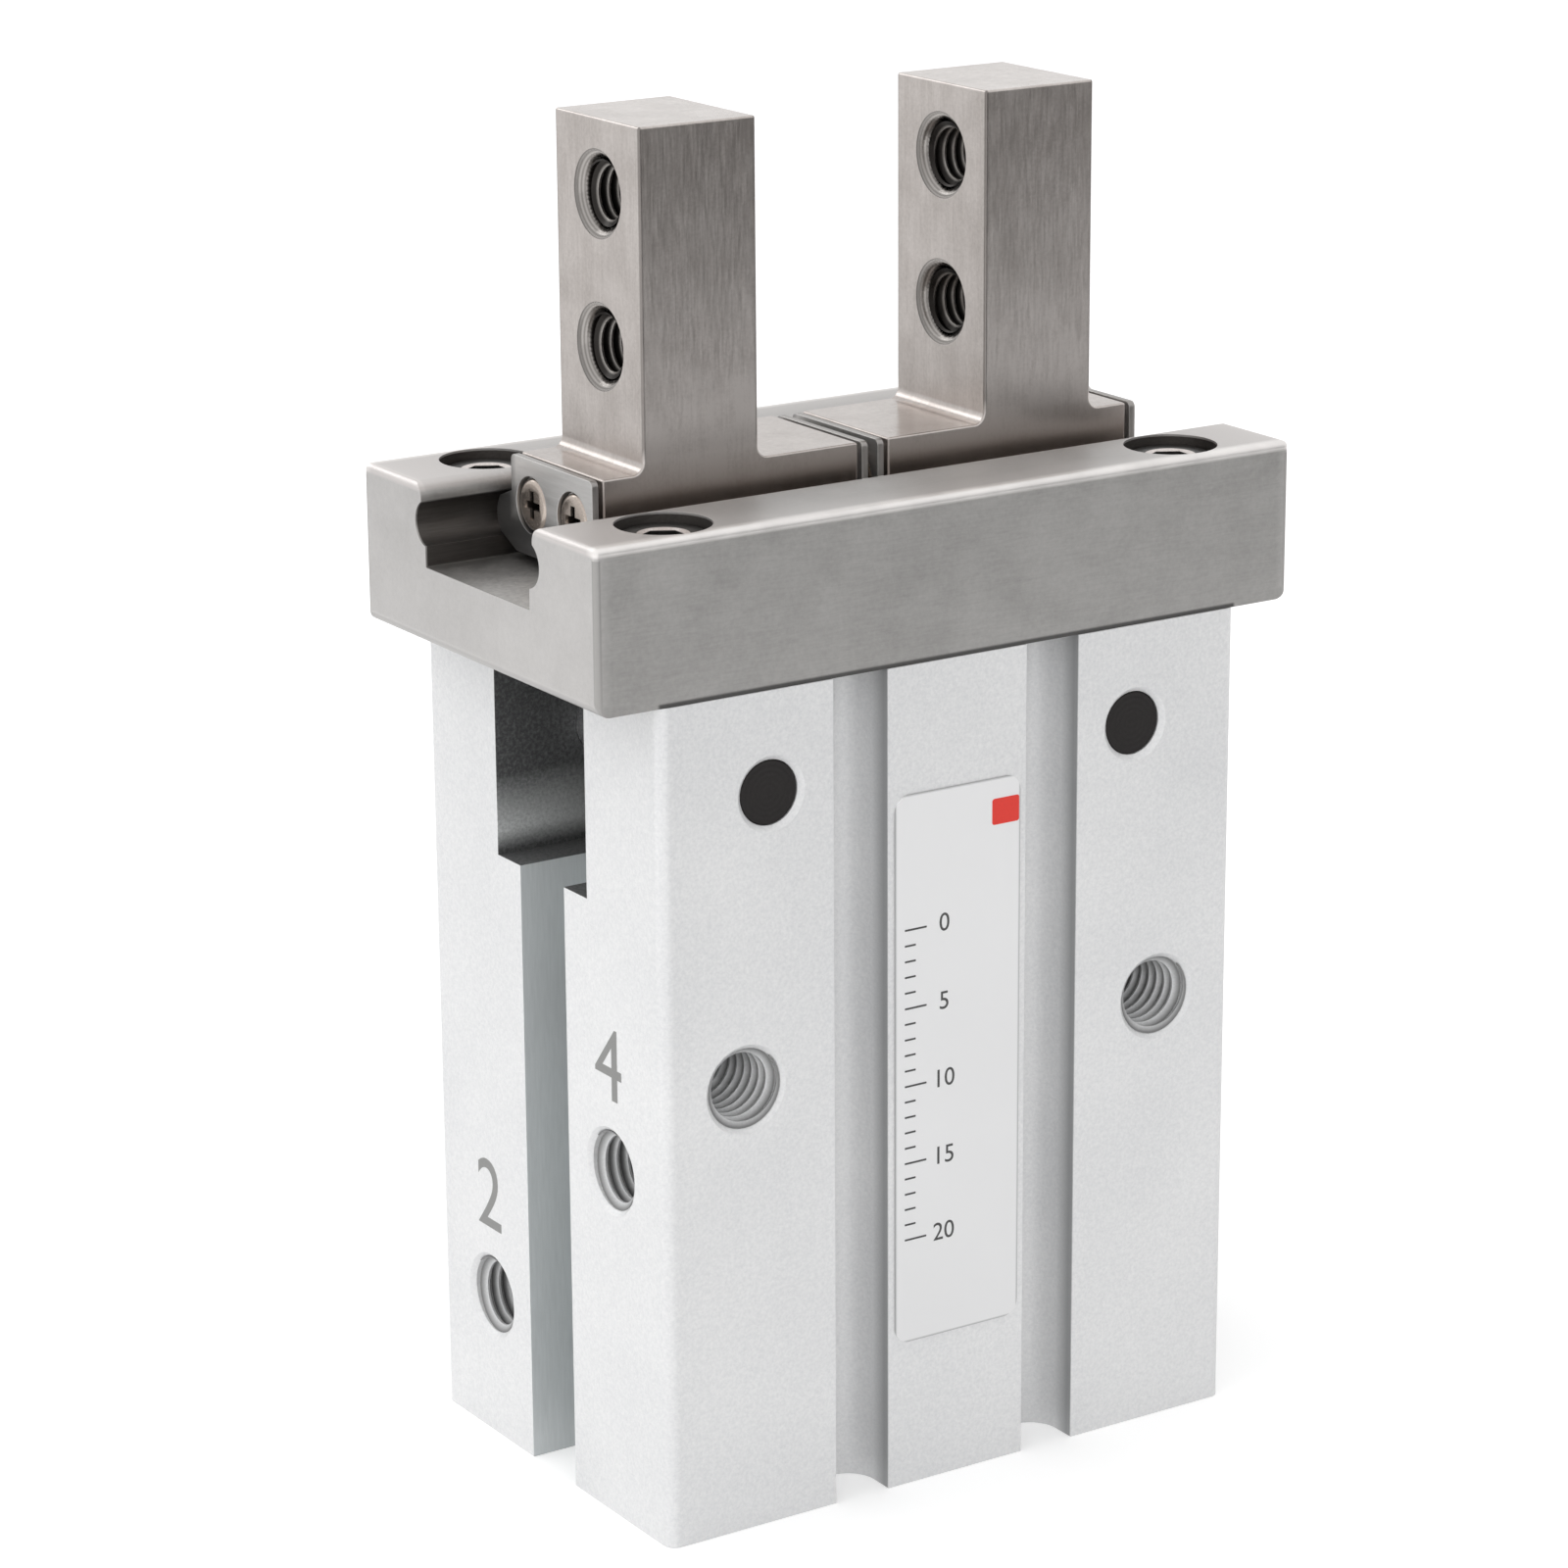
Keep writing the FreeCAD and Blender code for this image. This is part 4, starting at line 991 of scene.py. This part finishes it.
finger_steel = brushed_finger()
ball_steel = polished_balls()
plate_steel = sheet_steel()
tapped_steel = tapped_metal(
    "tapped_finger_steel", (0.40, 0.378, 0.356), (0.03, 0.027, 0.025), root_shade=0.6, roughness=0.34, metallic=0.9
)
cross_screw_steel = plate_screw_steel()
for side in ("left", "right"):
    finger_unit = side + "_finger_unit"
    dress(plate_steel, side + "_outer_end_plate", side + "_inner_end_plate")
    break_edges(DEBURR, nodes[side + "_outer_end_plate"], nodes[side + "_inner_end_plate"])

    finger_threads = bmesh.new()
    cones = bmesh.new()
    holes = side + "_finger_holes"
    inward = -Vector(mounts[holes]["axis"])
    thickness = abs(mounts[holes]["pos_m"][0] - mounts[side + "_finger_face"]["pos_m"][0])
    thread_end = thickness - FINGER_THREAD_START
    for mouth in holes_of(holes, Z):
        thread(finger_threads, mouth, inward, M4_RADIUS, M4_PITCH, FINGER_THREAD_START, thread_end)
        countersink(cones, mouth, inward)
        countersink(cones, mouth + inward * thickness, -inward)
    finger = worked(stock_of(side + "_finger"), ("DIFFERENCE", cones))
    finger_piece = new_piece(side + "_ground_finger", finger, finger_steel, finger_unit)
    smooth(finger_piece, 30)
    break_edges(DEBURR, finger_piece, sharpest=50)
    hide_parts(side + "_finger")
    smooth(new_piece(side + "_finger_threads", finger_threads, tapped_steel, finger_unit), 50)

    balls_low, balls_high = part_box(side + "_guide_balls")
    ball_radius = (balls_high.z - balls_low.z) / 2
    first = balls_low.x + ball_radius
    reach = balls_high.x - ball_radius - first
    balls = bmesh.new()
    for row in (balls_low.y + ball_radius, balls_high.y - ball_radius):
        for step in range(BALLS_IN_ROW):
            x = first + reach * step / (BALLS_IN_ROW - 1)
            shift = Matrix.Translation(Vector((x, row, (balls_low.z + balls_high.z) / 2)))
            bmesh.ops.create_uvsphere(balls, u_segments=32, v_segments=16, radius=ball_radius, matrix=shift)
    ball_rows = new_piece(side + "_bearing_balls", balls, ball_steel, side + "_ball_rows")
    smooth(ball_rows, 80)
    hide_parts(side + "_guide_balls")

    heads_low, heads_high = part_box(side + "_end_plate_screws")
    seats = []
    for face, outward in ((heads_low.x, -X), (heads_high.x, X)):
        for y in (heads_low.y + PAN_RADIUS, heads_high.y - PAN_RADIUS):
            middle = Vector((face, y, (heads_low.z + heads_high.z) / 2))
            seats.append((middle - outward * PAN_HEIGHT, outward))
    screws = bmesh.new()
    cross_screw_heads(screws, seats)
    cross_screws = new_piece(side + "_cross_screws", screws, cross_screw_steel, finger_unit)
    smooth(cross_screws, 35)
    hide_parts(side + "_end_plate_screws")


# Label: a white film sticker with rounded corners on the land between the sensor grooves.
# It is printed with a red square at its top corner and a plain millimetre scale.
LABEL_CORNER = 1.0 * MM
SQUARE_SIDES = Vector((2.0, 0, 1.65)) * MM
SQUARE_INSET = Vector((0.1, 0, 1.3)) * MM
SQUARE_CORNER = 0.16 * MM
SCALE_LENGTH = 20
SCALE_NUMBER_EVERY = 5
SCALE_DROP = 8.5 * MM
SCALE_INSET = 0.7 * MM
TICK_LONG = 1.6 * MM
TICK_SHORT = 0.8 * MM
TICK_HALF = 0.06 * MM
TICK_CORNER = 0.02 * MM
NUMBER_INSET = 3.6 * MM
NUMBER_HEIGHT = 1.15 * MM


def label_film():
    """Satin film, slightly uneven where it lies on the blasted skin."""
    material, tree, shader = new_finish("label_film")
    lie = mottled(tree, 0.5)
    white = mix(tree, lie["Drift"], (0.80, 0.80, 0.805), (0.84, 0.84, 0.845))
    low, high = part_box("label")
    # Painted shadow along the film's edge: a grey border.
    off_edge = box_mask(tree, low - Y * MM, high + Y * MM, 0.14 * MM)
    join(tree, mix(tree, off_edge, (0.38, 0.38, 0.385), white), shader, "Base Color")
    set_roughness(tree, shader, lie["Speckle"], 0.34, 0.42)
    bump(tree, shader, lie["Speckle"], 0.004)
    return material


def rounded_outline(low, high, radius, steps=8):
    """Points round a rectangle with rounded corners, in the plane of the front face."""
    centres = ((high.x, high.z, 0), (low.x, high.z, 90), (low.x, low.z, 180), (high.x, low.z, 270))
    points = []
    for x, z, start in centres:
        x += -radius if x == high.x else radius
        z += -radius if z == high.z else radius
        for step in range(steps + 1):
            turn = math.radians(start + 90 * step / steps)
            points.append((x + radius * math.cos(turn), z + radius * math.sin(turn)))
    return points


label_low, label_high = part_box("label")
print_face = label_low.y
film_face = print_face + MARK_DEPTH
film = bmesh.new()
bar(film, rounded_outline(label_low, label_high, LABEL_CORNER), label_high.y, film_face)
film_piece = new_piece("label_sticker", film, label_film(), "housing")
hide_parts("label")
red_patch = bmesh.new()
red_high = label_high - SQUARE_INSET
red_outline = rounded_outline(red_high - SQUARE_SIDES, red_high, SQUARE_CORNER, steps=3)
bar(red_patch, red_outline, film_face, print_face)
label_red = printed("label_red", (0.66, 0.028, 0.016), 0.45)
new_piece("label_red_square", red_patch, label_red, "housing")
ink = printed("label_ink", (0.045, 0.045, 0.045), 0.45)
ticks = bmesh.new()
scale_top = label_high.z - SCALE_DROP
for step in range(SCALE_LENGTH + 1):
    length = TICK_SHORT if step % SCALE_NUMBER_EVERY else TICK_LONG
    height = scale_top - step * MM
    low = Vector((label_low.x + SCALE_INSET, 0, height - TICK_HALF))
    high = Vector((low.x + length, 0, height + TICK_HALF))
    bar(ticks, rounded_outline(low, high, TICK_CORNER, steps=1), film_face, print_face)
new_piece("label_scale", ticks, ink, "housing")
for step in range(SCALE_LENGTH // SCALE_NUMBER_EVERY + 1):
    number = SCALE_NUMBER_EVERY * step
    spot = Vector((label_low.x + NUMBER_INSET, film_face, scale_top - number * MM))
    flat_text(f"label_number_{step}", str(number), NUMBER_HEIGHT, spot, X, Z, ink, "housing")


# Studio: a pale floor that runs back without a wall, and soft lamps at the left, above, in front and behind.
# Two graded grey cards, which only the metal sees, give the fronts and the left sides their tones.
FLOOR_DROP = 0.02 * MM
FLOOR_GLOW = 0.34
SKY_LIGHT = 0.45


def looked_at(tree):
    """Mask of the rays by which the lens, metal and glass see a surface."""
    path = add(tree, "ShaderNodeLightPath").outputs
    return most(tree, path["Is Camera Ray"], path["Is Glossy Ray"], path["Is Transmission Ray"])


def floor_paint():
    """Pale paint that reads as white to the lens and to metal, and keeps the shadow."""
    material, tree, shader = new_finish("floor_paint", {
        "Base Color": (0.78, 0.78, 0.78, 1),
        "Roughness": 0.9,
        "Specular IOR Level": 0,
        "Emission Color": (1, 1, 1, 1),
    })
    join(tree, calc(tree, "MULTIPLY", looked_at(tree), FLOOR_GLOW), shader, "Emission Strength")
    return material


def stage_sheet(name, size, place, facing, material):
    """A flat sheet of the studio that faces a point."""
    mesh = bmesh.new()
    bmesh.ops.create_grid(mesh, x_segments=1, y_segments=1, size=0.5)
    sheet = in_scene(name, mesh_data(name, mesh))
    sheet.scale = (*size, 1)
    sheet.location = place
    sheet.rotation_euler = (facing - place).to_track_quat("Z", "Y").to_euler()
    sheet.data.materials.append(material)
    return sheet


def graded_card(name, place, size, greys):
    """An upright card that faces the object and that only metal sees, graded over shares of its height."""
    unlit = {"Base Color": (0, 0, 0, 1), "Specular IOR Level": 0, "Emission Strength": 1}
    material, tree, shader = new_finish(name, unlit)
    share = xyz(tree, add(tree, "ShaderNodeTexCoord").outputs["Generated"])["Y"]
    grading = add(tree, "ShaderNodeValToRGB", {"Fac": share})
    stops = grading.color_ramp.elements
    for position, grey in greys[1:-1]:
        stops.new(position)
    for stop, (position, grey) in zip(stops, greys):
        stop.position = position
        stop.color = (grey, grey, grey, 1)
    join(tree, grading.outputs["Color"], shader, "Emission Color")
    card = stage_sheet(name, size, place, Vector((0, 0, place.z)), material)
    card.visible_camera = False
    card.visible_diffuse = False
    card.visible_shadow = False


def softbox(name, place, size, watts, mirrored=False):
    """A soft lamp that faces the object, and that metal mirrors only where asked."""
    light = bpy.data.lights.new(name, "AREA")
    light.shape = "RECTANGLE"
    light.size, light.size_y = size
    light.energy = watts
    lamp = in_scene(name, light)
    lamp.location = place
    lamp.visible_glossy = mirrored
    lamp.rotation_euler = (object_middle - place).to_track_quat("-Z", "Y").to_euler()


object_middle = Vector((0, 0, 45)) * MM
stage_sheet("floor", (6, 6), Vector((0, 0, -FLOOR_DROP)), Z, floor_paint())
front_greys = ((0, 1.0), (0.05, 0.5), (0.1, 0.1), (0.28, 0.06), (0.42, 0.85), (1, 1.0))
graded_card("front_card", Vector((0.062, -0.177, 0.15)), (0.22, 0.30), front_greys)
back_greys = ((0, 0.7), (0.3, 0.78), (1, 1))
graded_card("back_card", Vector((-0.11, 0.17, 0.05)), (0.26, 0.10), back_greys)
softbox("key_left", Vector((-0.85, 0.05, 0.45)), (1.0, 1.0), 2.9)
softbox("top", Vector((-0.1, 0.2, 0.95)), (1.5, 1.5), 7.6)
softbox("front_fill", Vector((-0.35, -0.9, 0.5)), (1.1, 1.1), 3.55)
softbox("rim", Vector((-0.25, 0.70, 0.45)), (0.3, 0.3), 0.5, mirrored=True)

world = bpy.data.worlds.new("studio")
world.use_nodes = True
sky = world.node_tree
background = sky.nodes["Background"].inputs
background["Color"].default_value = (1, 1, 1, 1)
sky.links.new(spread(sky, looked_at(sky), 0, 1, SKY_LIGHT, 1.0), background["Strength"])
bpy.context.scene.world = world

lens = bpy.data.cameras.new("camera")
lens.lens = 112.33
lens.sensor_width = 36
lens.clip_start = 0.01
azimuth, elevation, roll = (math.radians(turn) for turn in (-32.885, 16.532, -0.400))
level_back = Vector((math.sin(azimuth), -math.cos(azimuth), 0))
level_right = Vector((math.cos(azimuth), math.sin(azimuth), 0))
back = level_back * math.cos(elevation) + Z * math.sin(elevation)
level_up = back.cross(level_right)
right = level_right * math.cos(roll) + level_up * math.sin(roll)
up = level_up * math.cos(roll) - level_right * math.sin(roll)
camera = in_scene("camera", lens)
camera.matrix_world = Matrix((right, up, back)).transposed().to_4x4()
camera.location = Vector((-161.911, -244.991, 128.659)) * MM
bpy.context.scene.camera = camera
bpy.context.scene.view_settings.view_transform = "Standard"
